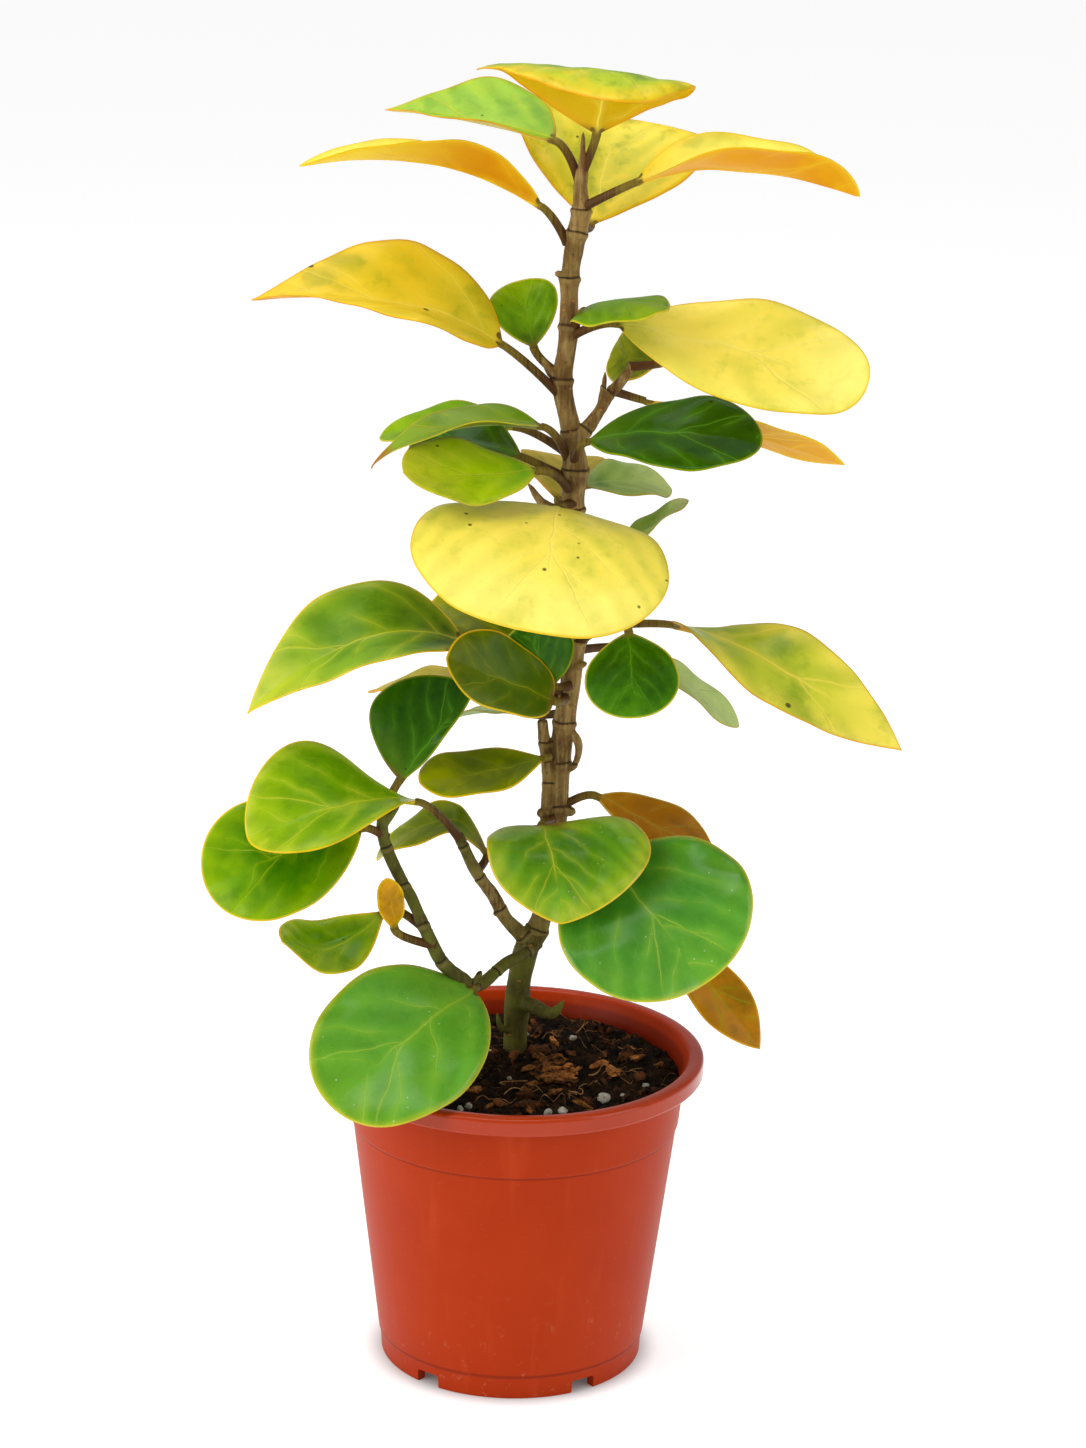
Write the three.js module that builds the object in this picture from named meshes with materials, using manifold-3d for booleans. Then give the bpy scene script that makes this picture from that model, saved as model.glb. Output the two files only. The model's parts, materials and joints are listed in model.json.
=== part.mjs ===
import * as THREE from 'three';
import { mergeVertices } from 'three/addons/utils/BufferGeometryUtils.js';
import Module from 'manifold-3d';

// A potted mistletoe fig: glossy leathery leaves on a knotted stem with four side branches,
// in potting mix, in a small terracotta-coloured plastic pot with a rolled rim.
// Millimetres, +Z up, the viewer's side is -Y. Every size below is counted from the middle of
// the pot's foot; the finished plant is then moved along X so that its whole width is centred.

const wasm = await Module();
wasm.setup();

const PLANT_SHIFT_X = -10;

// Pot
const POT_HEIGHT = 102.4;
const RIM_RADIUS = 60;
const RIM_BAND = 6;
const RIM_INNER_RADIUS = 55.2;
const RIM_CREST = 2.4;
const RIM_ROUNDING = 0.8;
const RIM_HOLLOW = 1.2;
const WALL = 1.6;
const FOOT_RADIUS = 42;
const FOOT_RING_WIDTH = 3.4;
const FOOT_STEP_HEIGHT = 7;
const FOOT_FLARE = 0.4;
const BODY_FOOT_RADIUS = 42.9;
const STEP_LINE_HEIGHT = 79.8;
const BODY_STEP_RADIUS = 51.9;
const STEP_LINE_RISE = 0.5;
const BODY_TOP_RADIUS = 54.3;
const UNDER_RIM_HEIGHT = 96.8;
const FLOOR_UNDERSIDE = 5;
const FLOOR_TOP = 6.8;
const POT_SIDES = 40;
const NOTCH_COUNT = 5;
const NOTCH_FIRST_ANGLE = 34;
const NOTCH_WIDTH = 8.4;
const NOTCH_HEIGHT = 4.4;
const DRAIN_HOLE_RADIUS = 4;
const DRAIN_HOLE_CIRCLE = 28;
const DRAIN_HOLE_SIDES = 12;
const CUTTER_LENGTH = 12;

// Potting mix
const SOIL_GAP = 0.3;
const SOIL_TOP = 95.4;
const SOIL_MOUND = 1.6;
const SOIL_MOUND_RADIUS = 22;
const SOIL_ROUGHNESS = 0.9;
const SOIL_EDGE_DIP = 1.2;
const SOIL_FACET_ROOM = 0.2;
const SOIL_SEED = 4107;
const SOIL_RINGS = 7;
const SOIL_SIDES = 32;
const CHUNK_COUNT = 24;
const CHUNK_SIZE = [1.6, 4.2];
const CHUNK_FLATNESS = [1, 0.7, 0.55];
const CHUNK_TILT = 0.8;

// Leaves
const LEAF_THICKNESS = 0.9;
const STALK_RADIUS = 1.3;
const STALK_SINK = 1.2;
const STALK_STEP = 7;
const STALK_MOST_STEPS = 3;
const STALK_BEND = 0.3;
const BLADE_FOOT = [1.1, 0.8];
const TIP_HALF_WIDTH = 0.8;
const BARK_GAP = 0.3;
const BROAD_LEAF = 40;
const BROAD_STEPS = 8;
const SLIM_STEPS = 7;
const BROAD_HALF_RING = 7;
const SLIM_HALF_RING = 5;
const TURN_FADE = 2.5;
const TROUGH_CURVE = 1.3;
const FRAME_SPAN = 0.01;

// Stem
const TRUNK_SIDES = 9;
const BRANCH_SIDES = 8;
const SPUR_SIDES = 5;
const TRUNK_STEP = 15;
const NODE_RISE = 0.5;
const NODE_HALF_HEIGHT = 1.8;
const NODE_CLEARANCE = 1;

// Trunk: place of its axis and radius, from the end sunk in the mix to the top.
const TRUNK = [
  [-0.5, 14, 70, 3.4], [-0.5, 14, 86, 3.8], [-0.5, 13, 100, 3.8], [0, 13, 113, 4.2],
  [0.5, 12, 121, 3.8], [2.5, 11, 132, 4], [6.5, 10, 141, 3.4], [9.5, 9, 156, 3],
  [11.5, 8, 175, 2.9], [12, 8, 195, 3.2], [13, 7, 209, 3.4], [14.5, 7, 221, 3.2],
  [15.5, 6, 236, 3.4], [15, 6, 259, 3.2], [14, 6, 278, 3.4], [14.5, 5, 291, 3.8],
  [13, 5, 303, 3], [10, 5, 317, 3], [11.5, 4, 333, 2.9], [11.5, 4, 351, 2.8],
  [13.5, 3, 365, 2.9], [14.5, 3, 372, 2.7], [14, 3, 378, 2.2], [14.5, 3, 383, 1.9],
];

// Heights of the trunk's leaf-scar rings.
const TRUNK_NODES = [139, 157, 181, 195.5, 209, 236, 258.5, 278, 290.5, 302.5, 318.5, 335.5, 350, 364, 371];

// Side branches, thick end first: place of the axis and radius.
const BRANCHES = [
  [
    [6.5, 9, 135, 1.8], [2, 4, 133, 1.9], [-4, 0, 131, 1.9], [-12.5, -10, 127, 2], [-17.5, -14, 131, 2.1],
    [-23.5, -17, 137, 2.2], [-28, -18, 146, 2.1], [-32.5, -17, 156, 1.9], [-39, -15, 168, 1.9],
    [-42.5, -14, 177, 1.9], [-43, -13, 185, 1.7],
  ],
  [
    [4, 10, 133, 2.6], [0, 8, 139, 2.4], [-4.5, 5, 145, 2.2], [-8.5, 3, 153, 2.1], [-14, 0, 162, 1.9],
    [-19.5, -4, 175, 1.7],
  ],
  [
    [11, 9, 171, 1.9], [8, 8.5, 176, 1.9], [8, 8, 184, 1.8], [8, 7, 192, 1.8], [7, 7, 201, 1.8],
    [6, 6, 210, 1.7],
  ],
  [
    [14, 5, 299, 2.4], [18, 5, 304, 2.2], [22, 6, 310, 1.9], [24.5, 8, 314, 1.8], [28, 8, 318, 1.6],
    [31.5, 9, 323, 1.4],
  ],
];

// Buds, sheaths, leaf-stalk stubs and swellings: place and radius at the root and at the end.
const SPURS = [
  [[11, 3, 351, 1.8], [7, -0.5, 352.5, 0.9]],
  [[16, 4, 228, 1.7], [19.5, 2, 230, 0.9]],
  [[16.5, 4, 236, 1.8], [20.5, 2, 238.5, 1]],
  [[10, 5, 318, 1.6], [6.5, 4, 321, 1.5], [3.5, 4, 326, 0.6]],
  [[12, 5, 277, 1.7], [5, 2, 280.5, 1.4], [0, 0, 287.5, 0.7]],
  [[1, 12, 113, 2.2], [5, 8, 114, 2.4], [11, 4, 113, 2], [15, 3, 118, 0.7]],
  [[-1, 12, 104, 1.6], [-5, 9, 106, 1.2], [-6.5, 9, 111, 0.6]],
  [[-13, -10, 128, 1.6], [-11.5, -12, 133, 0.7]],
  [[-18, -14, 130.5, 1.5], [-20, -15, 134, 0.7]],
  [[-42.5, -13.5, 181, 1.5], [-37.5, -14, 187.5, 0.7]],
  [[14.5, 3, 381, 1.6], [14.5, 2, 389, 1], [14.5, 2, 395, 0.5]],
  [[22, 6, 310, 1.5], [23, 4, 322, 0.5]],
  [[-5.5, 5, 146, 1.7], [-8, 2, 147.5, 0.8]],
  [[13, 7, 209, 1.6], [17.5, 4.5, 203, 1.3], [16.5, 5, 196, 1], [12.5, 8, 192, 0.9]],
  [[11, 8, 180, 2.5], [5, 5, 179.5, 1.5]],
  [[11.5, 8, 181, 2.4], [17, 5, 180, 1.3]],
];

// What a leaf is like where its own line says nothing: widest point and foot and tip fullness of
// the outline, arch height and place of its crest, trough angles left and right of the midrib seen
// from the foot, turn of the blade at foot and tip in degrees, and how much wider the right half is.
const LEAF_HABIT = {
  widest: 0.6, foot: 0.9, end: 0.55, arch: 4, crest: 0.45, droop: 1, trough: [10, 10], turn: [0, 0],
  skew: 0, lip: 0.06, hue: 'green',
};

// Leaves: where the stalk leaves the bark, where the blade begins, its tip, the way its upper face
// looks, its width, and what sets it apart.
const LEAVES = [
  {
    name: 'crown', root: [14.6, 2.8, 382.7], base: [18.5, 1, 394.5], tip: [20, -46, 411],
    face: [0.12, -0.1, 1], width: 64, widest: 0.62, end: 0.5, arch: 13.2, crest: 0.5, trough: [0, 0],
    skew: 0.18, hue: 'gold',
  },
  {
    name: 'upper_left_pale', root: [13.5, 4, 380], base: [6, 6, 391.5], tip: [-45.5, 22, 397.5],
    face: [0, -0.35, 1], width: 36, widest: 0.38, foot: 0.7, end: 1.3, arch: 2, trough: [30, 16],
    skew: 0.15, hue: 'pale',
  },
  {
    name: 'upper_left_orange', root: [10, 4, 362], base: [2.5, 0, 372.5], tip: [-69.5, -12, 385],
    face: [0, 0.1, 1], width: 29, widest: 0.43, end: 1, arch: 7.5, trough: [35, 22], turn: [12, -20],
    hue: 'orange',
  },
  {
    name: 'upper_back_yellow', root: [15.5, 6, 366], base: [17.5, 13, 365], tip: [25.5, 50, 392.5],
    face: [0, -1, 0.5], width: 62, widest: 0.75, foot: 1, end: 0.45, arch: 3, trough: [12, 12], hue: 'pale',
  },
  {
    name: 'upper_right_orange', root: [15.5, 2, 372.5], base: [30.5, -4, 381], tip: [96.5, -18, 380.5],
    face: [0, 0.1, 1], width: 37, end: 0.7, arch: 6, crest: 0.38, trough: [36, 27], turn: [30, -26],
    hue: 'orange',
  },
  {
    name: 'left_yellow', root: [8, 4, 315.5], base: [-8.5, -4, 331], tip: [-83, -20, 346],
    face: [0, -0.15, 1], width: 52, widest: 0.38, end: 1.2, arch: 7, trough: [12, 32], turn: [-15, 15],
    hue: 'yellow',
  },
  {
    name: 'left_small_round', root: [8, 5, 321], base: [1, 8, 328], tip: [-4, 16, 347], face: [0, -1, 0.2],
    width: 21.5, widest: 0.68, end: 0.5, arch: 2,
  },
  {
    name: 'right_small_wavy', root: [13.5, 2, 336.5], base: [16, -4, 342], tip: [37.5, -30, 346.5],
    face: [0, -0.3, 1], width: 28, widest: 0.5, foot: 0.4, end: 0.5, arch: 3, trough: [-8, -8],
  },
  {
    name: 'right_yellow', root: [13, 3, 333], base: [26, -6, 338.5], tip: [101, -22, 324.5],
    face: [0, -0.8, 1], width: 41, end: 0.42, arch: 1.5, trough: [5, 5], hue: 'yellow',
  },
  {
    name: 'right_olive_behind', root: [31.5, 9, 322.5], base: [40, 14, 323], tip: [24.5, 30, 321],
    face: [0, -1, 0.4], width: 17, widest: 0.65, end: 0.5, arch: 1, hue: 'olive',
  },
  {
    name: 'right_dark', root: [14, 3, 294], base: [18, -6, 302], tip: [70, -22, 305.5], face: [0, -0.5, 1],
    width: 36, widest: 0.62, end: 0.5, skew: 0.09, hue: 'dark',
  },
  {
    name: 'right_far_bronze', root: [25.5, 8, 315], base: [35.5, 16, 310.5], tip: [99, 30, 288.5],
    face: [0, 0.5, 1], width: 26, end: 0.9, arch: 0.5, crest: 0.35, trough: [5, 5], hue: 'bronze',
  },
  {
    name: 'back_tan', root: [12, 8, 279.5], base: [9.5, 16, 278.5], tip: [11.5, 44, 286],
    face: [0, -1, 0.6], width: 28, widest: 0.7, arch: 3, hue: 'tan',
  },
  {
    name: 'back_grey', root: [15, 8, 284], base: [17, 16, 283], tip: [44, 34, 280], face: [0, -0.45, 1],
    width: 22, arch: 1.5, hue: 'grey',
  },
  {
    name: 'right_folded', root: [17, 7, 259.5], base: [28, 8, 263.5], tip: [50, 22, 278],
    face: [-0.5, -0.25, 1], width: 11, arch: 1, trough: [15, 15], hue: 'dark',
  },
  {
    name: 'left_high_back', root: [11, 7, 296], base: [-3, 14, 301.5], tip: [-46.5, 30, 294.5],
    face: [0, -0.4, 1], width: 22, arch: 3,
  },
  {
    name: 'left_high_curled', root: [12, 4, 294.5], base: [4, -4, 306], tip: [-47, -18, 295],
    face: [0, -0.1, 1], width: 22, widest: 0.3, end: 1.2, arch: 6.5, crest: 0.5, droop: 0.6,
    trough: [20, 20],
  },
  {
    name: 'left_high_dark', root: [12, 5, 288], base: [-2, -2, 296], tip: [-36.5, 8, 296.5],
    face: [0, -0.5, 1], width: 30, arch: 3, hue: 'dark',
  },
  {
    name: 'left_high_bright', root: [12, 2, 286], base: [3, -10, 293.5], tip: [-37, -29, 296.5],
    face: [0, -0.6, 1], width: 30, end: 0.5, arch: -1.5, hue: 'lime',
  },
  {
    name: 'centre_yellow', root: [13.5, 3, 280.5], base: [9, -6, 281.5], tip: [5, -62, 256.5],
    face: [0.13, -0.4, 0.9], width: 78, widest: 0.55, foot: 0.4, end: 0.4, arch: 8, trough: [0, 0],
    skew: 0.08, hue: 'yellow',
  },
  {
    name: 'left_large', root: [13, 6, 219], base: [-18.5, 0, 236.5], tip: [-84, -24, 219],
    face: [0, -0.35, 1], width: 42, widest: 0.33, end: 1.05, arch: 13, trough: [17, 30],
  },
  {
    name: 'left_tan', root: [13, 9, 216], base: [-15.5, 16, 221], tip: [-49, 40, 208], face: [0, -0.15, 1],
    width: 18, arch: 2, hue: 'tan',
  },
  {
    name: 'branch_dark_up', root: [-42.8, -13, 184], base: [-37.6, -13.5, 195.5], tip: [-15, -8.5, 224.5],
    face: [-0.2, -0.9, 0.4], width: 25, widest: 0.42, foot: 0.62, end: 0.7, arch: 1, skew: -0.75,
    hue: 'dark',
  },
  {
    name: 'centre_olive', root: [13, 4, 218], base: [9.2, -6.5, 220], tip: [-23.5, -24, 238],
    face: [0, -0.8, 0.6], width: 25, foot: 0.36, end: 0.5, arch: 0, skew: 0.12, hue: 'olive',
  },
  {
    name: 'centre_left_olive', root: [14, 8, 223.5], base: [-0.5, 12, 232.5], tip: [-29.5, 22, 243.5],
    face: [0, -0.6, 0.8], width: 24, arch: 2, hue: 'bronze',
  },
  {
    name: 'centre_back_dark', root: [13.5, 1.5, 222.5], base: [9.3, -1, 223.5], tip: [0, -0.5, 243],
    face: [-0.2, -1, 0.3], width: 25, arch: 2, hue: 'dark',
  },
  {
    name: 'left_thin', root: [12.5, 8, 212], base: [2, 14, 209.5], tip: [-23.5, 36, 201], face: [0, 0, 1],
    width: 12, arch: 2, hue: 'grey',
  },
  {
    name: 'left_olive_yellow', root: [7.5, 6, 197.5], base: [7, -2, 200.1], tip: [-31.5, -16, 195.6],
    face: [0, -0.5, 1], width: 22, end: 0.5, arch: -1.5, hue: 'olive',
  },
  {
    name: 'branch_bright', root: [-19.3, -4, 174], base: [-32, -18, 190], tip: [-83, -38, 183.5],
    face: [0, -0.9, 0.8], width: 41, foot: 1.15, end: 0.6, arch: 9, trough: [25, 8], turn: [45, 0],
    skew: 0.18, hue: 'lime',
  },
  {
    name: 'branch_bright_low', root: [-42.5, -14, 177.5], base: [-49, -18, 181], tip: [-96, -34, 166],
    face: [0, -0.9, 0.6], width: 40, end: 0.5, hue: 'lime',
  },
  {
    name: 'branch_cupped', root: [-28.5, -17.5, 147.5], base: [-42, -14, 152.5], tip: [-72.5, -34, 149],
    face: [0, -0.6, 1], width: 26, arch: -10, hue: 'lime',
  },
  {
    name: 'branch_small_orange', root: [-27, -18.5, 143.5], base: [-38.5, -22, 150],
    tip: [-41, -26, 167.5], face: [0.3, -1, 0], width: 9, arch: 1, hue: 'gold',
  },
  {
    name: 'middle_olive_arched', root: [-13.5, 0.5, 161.5], base: [-11, 8, 165.5], tip: [-46, 19, 159],
    face: [0, -0.5, 1], width: 18, widest: 0.4, foot: 0.6, arch: 14, crest: 0.18, hue: 'olive',
  },
  {
    name: 'centre_green', root: [11, 7, 177.5], base: [6.5, -4, 178.5], tip: [13.5, -38, 158],
    face: [0.15, -1, 0.8], width: 52, widest: 0.45, foot: 0.4, end: 0.7, arch: 6, skew: -0.2,
  },
  {
    name: 'right_bronze', root: [12, 8, 180.5], base: [23.5, 6, 185.5], tip: [61, 8, 165],
    face: [0, -0.6, 0.8], width: 20, arch: 1, hue: 'bronze',
  },
  {
    name: 'low_right_large', root: [11, 7, 168.5], base: [24, -5, 169.5], tip: [57, -41, 140],
    face: [0.1, -0.9, 0.7], width: 64, widest: 0.55, end: 0.45, arch: 6,
  },
  {
    name: 'low_right_bronze', root: [9.5, 9, 156.5], base: [43.5, 10, 140.5], tip: [77.5, -4, 105.5],
    face: [0, -0.7, 0.7], width: 18, end: 0.9, hue: 'bronze',
  },
  {
    name: 'low_left_large', root: [-12.5, -10, 127.2], base: [-13.5, -15, 127.5], tip: [-56, -58, 104.5],
    face: [0, -0.9, 0.7], width: 51, widest: 0.55, foot: 0.7, end: 0.45, arch: 5,
  },
  {
    name: 'right_round_dark', root: [15, 4.5, 235.5], base: [32, -10, 243.5], tip: [34, -22, 219.5],
    face: [0, -1, 0.4], width: 29.5, end: 0.5, arch: 3, hue: 'dark',
  },
  {
    name: 'right_grey', root: [15.5, 7, 232.5], base: [36.5, 16, 230], tip: [69, 34, 201.5],
    face: [0, -0.6, 1], width: 14, arch: 1, hue: 'grey',
  },
  {
    name: 'right_drooping', root: [16, 7, 239.5], base: [46.5, 1, 243], tip: [116.5, -20, 210.5],
    face: [0, -0.7, 0.8], width: 34, widest: 0.38, foot: 0.5, end: 1, arch: 8, crest: 0.35, turn: [-60, 0],
    hue: 'pale',
  },
];

const HUES = {
  gold: 0xd9a520, pale: 0xcfd47a, orange: 0xd98a1c, yellow: 0xe8d24a, green: 0x4f8f2a, olive: 0x7d8426,
  dark: 0x1f4f17, bronze: 0x9a6a1c, tan: 0xa98a5a, grey: 0x7d9382, lime: 0x83b428,
};

const degrees = THREE.MathUtils.degToRad;

function point(values) {
  return new THREE.Vector3(values[0], values[1], values[2]);
}

// Repeatable pseudo-random numbers from 0 to 1.
function seededRandom(seed) {
  let state = seed;
  return () => {
    state = (state * 16807) % 2147483647;
    return state / 2147483647;
  };
}

function triangleMesh(points, corners) {
  const geometry = new THREE.BufferGeometry();
  const numbers = points.flatMap((p) => [p.x, p.y, p.z]);
  geometry.setAttribute('position', new THREE.Float32BufferAttribute(numbers, 3));
  geometry.setIndex(corners);
  return geometry;
}

function toSolid(geometry) {
  const bare = new THREE.BufferGeometry();
  const source = geometry.index ? geometry.toNonIndexed() : geometry;
  bare.setAttribute('position', source.getAttribute('position'));
  const merged = mergeVertices(bare, 1e-4);
  const mesh = new wasm.Mesh({
    numProp: 3,
    vertProperties: new Float32Array(merged.getAttribute('position').array),
    triVerts: new Uint32Array(merged.index.array),
  });
  return new wasm.Manifold(mesh);
}

function toGeometry(solid) {
  const mesh = solid.getMesh();
  const geometry = new THREE.BufferGeometry();
  geometry.setAttribute('position', new THREE.BufferAttribute(new Float32Array(mesh.vertProperties), 3));
  geometry.setIndex(new THREE.BufferAttribute(new Uint32Array(mesh.triVerts), 1));
  const flat = geometry.toNonIndexed();
  flat.computeVertexNormals();
  return flat;
}

function namedMesh(name, geometry, colour, roughness) {
  const material = new THREE.MeshStandardMaterial({ color: colour, roughness, metalness: 0 });
  const mesh = new THREE.Mesh(geometry, material);
  mesh.name = name;
  return mesh;
}

// Closed solid through rings that all have the same even number of points. A ring runs along the
// upper face from left to right and back along the lower face, so both faces are split alike.
function ringLoft(rings) {
  const size = rings[0].length;
  const half = size / 2;
  const corners = [];
  for (let k = 0; k < rings.length - 1; k += 1) {
    for (let j = 0; j < size; j += 1) {
      const next = (j + 1) % size;
      const a = k * size + j;
      const b = k * size + next;
      const c = (k + 1) * size + next;
      const d = (k + 1) * size + j;
      if (j < half) {
        corners.push(a, b, c, a, c, d);
      } else {
        corners.push(a, b, d, b, c, d);
      }
    }
  }
  const last = (rings.length - 1) * size;
  for (let i = 0; i < half - 1; i += 1) {
    const under = size - 1 - i;
    corners.push(i, under, under - 1, i, under - 1, i + 1);
    corners.push(last + i, last + i + 1, last + under - 1, last + i, last + under - 1, last + under);
  }
  return triangleMesh(rings.flat(), corners);
}

// Ring with an oval outline, in the same point order as a blade's ring.
function ovalRing(centre, across, up, halfWidth, halfHeight, half) {
  const upper = [];
  const lower = [];
  for (let i = 0; i < half; i += 1) {
    const angle = Math.PI * (1 - (i + 0.5) / half);
    const side = across.clone().multiplyScalar(halfWidth * Math.cos(angle));
    const lift = up.clone().multiplyScalar(halfHeight * Math.sin(angle));
    upper.push(centre.clone().add(side).add(lift));
    lower.unshift(centre.clone().add(side).sub(lift));
  }
  return [...upper, ...lower];
}

// Rise from 0 at the foot to 1 at the crest and back to 0 at the tip.
function archRise(u, crest, droop) {
  if (u < crest) {
    return 1 - (1 - u / crest) ** 2;
  }
  return Math.max(0, 1 - ((u - crest) / (1 - crest)) ** 2) ** droop;
}

// Share of the full half width at a place along the midrib.
function outlineShare(leaf, u) {
  if (u < leaf.widest) {
    return Math.max(0, 1 - (1 - u / leaf.widest) ** 2) ** leaf.foot;
  }
  return Math.max(0, 1 - ((u - leaf.widest) / (1 - leaf.widest)) ** 2) ** leaf.end;
}

function readLeaf(line) {
  const ends = { root: point(line.root), base: point(line.base), tip: point(line.tip) };
  const leaf = { ...LEAF_HABIT, ...line, ...ends };
  const along = leaf.tip.clone().sub(leaf.base);
  leaf.length = along.length();
  leaf.along = along.normalize();
  const face = point(line.face);
  leaf.up = face.sub(leaf.along.clone().multiplyScalar(face.dot(leaf.along))).normalize();
  leaf.across = leaf.along.clone().cross(leaf.up);
  return leaf;
}

function midribPoint(leaf, u) {
  return leaf.base.clone()
    .addScaledVector(leaf.along, leaf.length * u)
    .addScaledVector(leaf.up, leaf.arch * archRise(u, leaf.crest, leaf.droop));
}

function bladeFrame(leaf, u) {
  const before = midribPoint(leaf, Math.max(0, u - FRAME_SPAN));
  const along = midribPoint(leaf, Math.min(1, u + FRAME_SPAN)).sub(before).normalize();
  const across = leaf.across.clone().addScaledVector(along, -leaf.across.dot(along)).normalize();
  const up = across.clone().cross(along);
  const turn = degrees(leaf.turn[0]) * (1 - u) ** TURN_FADE + degrees(leaf.turn[1]) * u ** TURN_FADE;
  const turnedAcross = across.clone().multiplyScalar(Math.cos(turn)).addScaledVector(up, -Math.sin(turn));
  const turnedUp = up.multiplyScalar(Math.cos(turn)).addScaledVector(across, Math.sin(turn));
  return { along, across: turnedAcross, up: turnedUp };
}

// Ring of a blade: its middle surface pushed out by half the thickness on both faces.
function bladeRing(leaf, u, half) {
  const frame = bladeFrame(leaf, u);
  const slimmest = THREE.MathUtils.lerp(STALK_RADIUS, TIP_HALF_WIDTH, u);
  const share = outlineShare(leaf, u);
  const middle = [];
  for (let i = 0; i < half; i += 1) {
    const v = (2 * i) / (half - 1) - 1;
    const right = v > 0;
    const halfWidth = Math.max(slimmest, (leaf.width / 2) * share * (1 + (right ? leaf.skew : -leaf.skew)));
    const trough = degrees(leaf.trough[right ? 1 : 0]);
    const lift = halfWidth * (Math.abs(v) ** TROUGH_CURVE * Math.sin(trough) - leaf.lip * v ** 4);
    middle.push(midribPoint(leaf, u)
      .addScaledVector(frame.across, v * halfWidth * Math.cos(trough))
      .addScaledVector(frame.up, lift));
  }
  const normals = middle.map((_, i) => {
    const side = middle[Math.min(i + 1, half - 1)].clone().sub(middle[Math.max(i - 1, 0)]);
    return side.cross(frame.along).normalize().multiplyScalar(LEAF_THICKNESS / 2);
  });
  const upper = middle.map((p, i) => p.clone().add(normals[i]));
  const lower = middle.map((p, i) => p.clone().sub(normals[i])).reverse();
  return [...upper, ...lower];
}

// Round rings of a leaf stalk, from inside the bark to the foot of the blade.
function stalkRings(leaf, half) {
  const foot = bladeFrame(leaf, 0);
  const reach = leaf.base.distanceTo(leaf.root);
  const bend = leaf.base.clone().addScaledVector(foot.along, -reach * STALK_BEND);
  const curve = new THREE.QuadraticBezierCurve3(leaf.root, bend, leaf.base);
  const steps = Math.max(1, Math.min(STALK_MOST_STEPS, Math.round(reach / STALK_STEP)));
  const rings = [];
  const start = bend.clone().sub(leaf.root).normalize();
  const places = [{ centre: leaf.root.clone().addScaledVector(start, -STALK_SINK), along: start }];
  for (let k = 0; k < steps; k += 1) {
    places.push({ centre: curve.getPoint(k / steps), along: curve.getTangent(k / steps) });
  }
  for (const place of places) {
    const swing = new THREE.Quaternion().setFromUnitVectors(foot.along, place.along);
    const across = foot.across.clone().applyQuaternion(swing);
    const up = foot.up.clone().applyQuaternion(swing);
    rings.push(ovalRing(place.centre, across, up, STALK_RADIUS, STALK_RADIUS, half));
  }
  const [wide, high] = BLADE_FOOT;
  rings.push(ovalRing(leaf.base, foot.across, foot.up, STALK_RADIUS * wide, STALK_RADIUS * high, half));
  return rings;
}

function leafSolid(leaf) {
  const broad = leaf.width >= BROAD_LEAF;
  const half = broad ? BROAD_HALF_RING : SLIM_HALF_RING;
  const steps = broad ? BROAD_STEPS : SLIM_STEPS;
  const rings = stalkRings(leaf, half);
  for (let k = 1; k <= steps; k += 1) {
    rings.push(bladeRing(leaf, (1 - Math.cos((Math.PI * k) / steps)) / 2, half));
  }
  return toSolid(ringLoft(rings));
}

// Tapered round bar through places given with a radius each.
function taperedBar(stations, sides, extra) {
  const places = stations.map(point);
  const curve = new THREE.CatmullRomCurve3(places, false, 'centripetal');
  const rings = [];
  let across = new THREE.Vector3(1, 0, 0);
  for (let k = 0; k < stations.length; k += 1) {
    const along = curve.getTangent(k / (stations.length - 1));
    across = across.addScaledVector(along, -across.dot(along)).normalize();
    const up = along.clone().cross(across);
    const ring = [];
    const radius = stations[k][3] + extra;
    for (let j = 0; j < sides; j += 1) {
      const angle = (2 * Math.PI * j) / sides;
      ring.push(places[k].clone()
        .addScaledVector(across, radius * Math.cos(angle))
        .addScaledVector(up, radius * Math.sin(angle)));
    }
    rings.push(ring);
  }
  return toSolid(capped(rings));
}

// Closed solid through plain rings, with a point in the middle of each end.
function capped(rings) {
  const size = rings[0].length;
  const points = rings.flat();
  const corners = [];
  for (let k = 0; k < rings.length - 1; k += 1) {
    for (let j = 0; j < size; j += 1) {
      const next = (j + 1) % size;
      corners.push(k * size + j, k * size + next, (k + 1) * size + next);
      corners.push(k * size + j, (k + 1) * size + next, (k + 1) * size + j);
    }
  }
  const last = (rings.length - 1) * size;
  points.push(middleOf(rings[0]), middleOf(rings[rings.length - 1]));
  for (let j = 0; j < size; j += 1) {
    const next = (j + 1) % size;
    corners.push(points.length - 2, next, j);
    corners.push(points.length - 1, last + j, last + next);
  }
  return triangleMesh(points, corners);
}

function middleOf(ring) {
  const sum = new THREE.Vector3();
  for (const p of ring) {
    sum.add(p);
  }
  return sum.divideScalar(ring.length);
}

// Place and radius of the trunk at a height.
function trunkAt(height) {
  let upper = 1;
  while (upper < TRUNK.length - 1 && TRUNK[upper][2] < height) {
    upper += 1;
  }
  const from = TRUNK[upper - 1];
  const to = TRUNK[upper];
  const share = (height - from[2]) / (to[2] - from[2]);
  return from.map((value, i) => value + (to[i] - value) * share);
}

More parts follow.
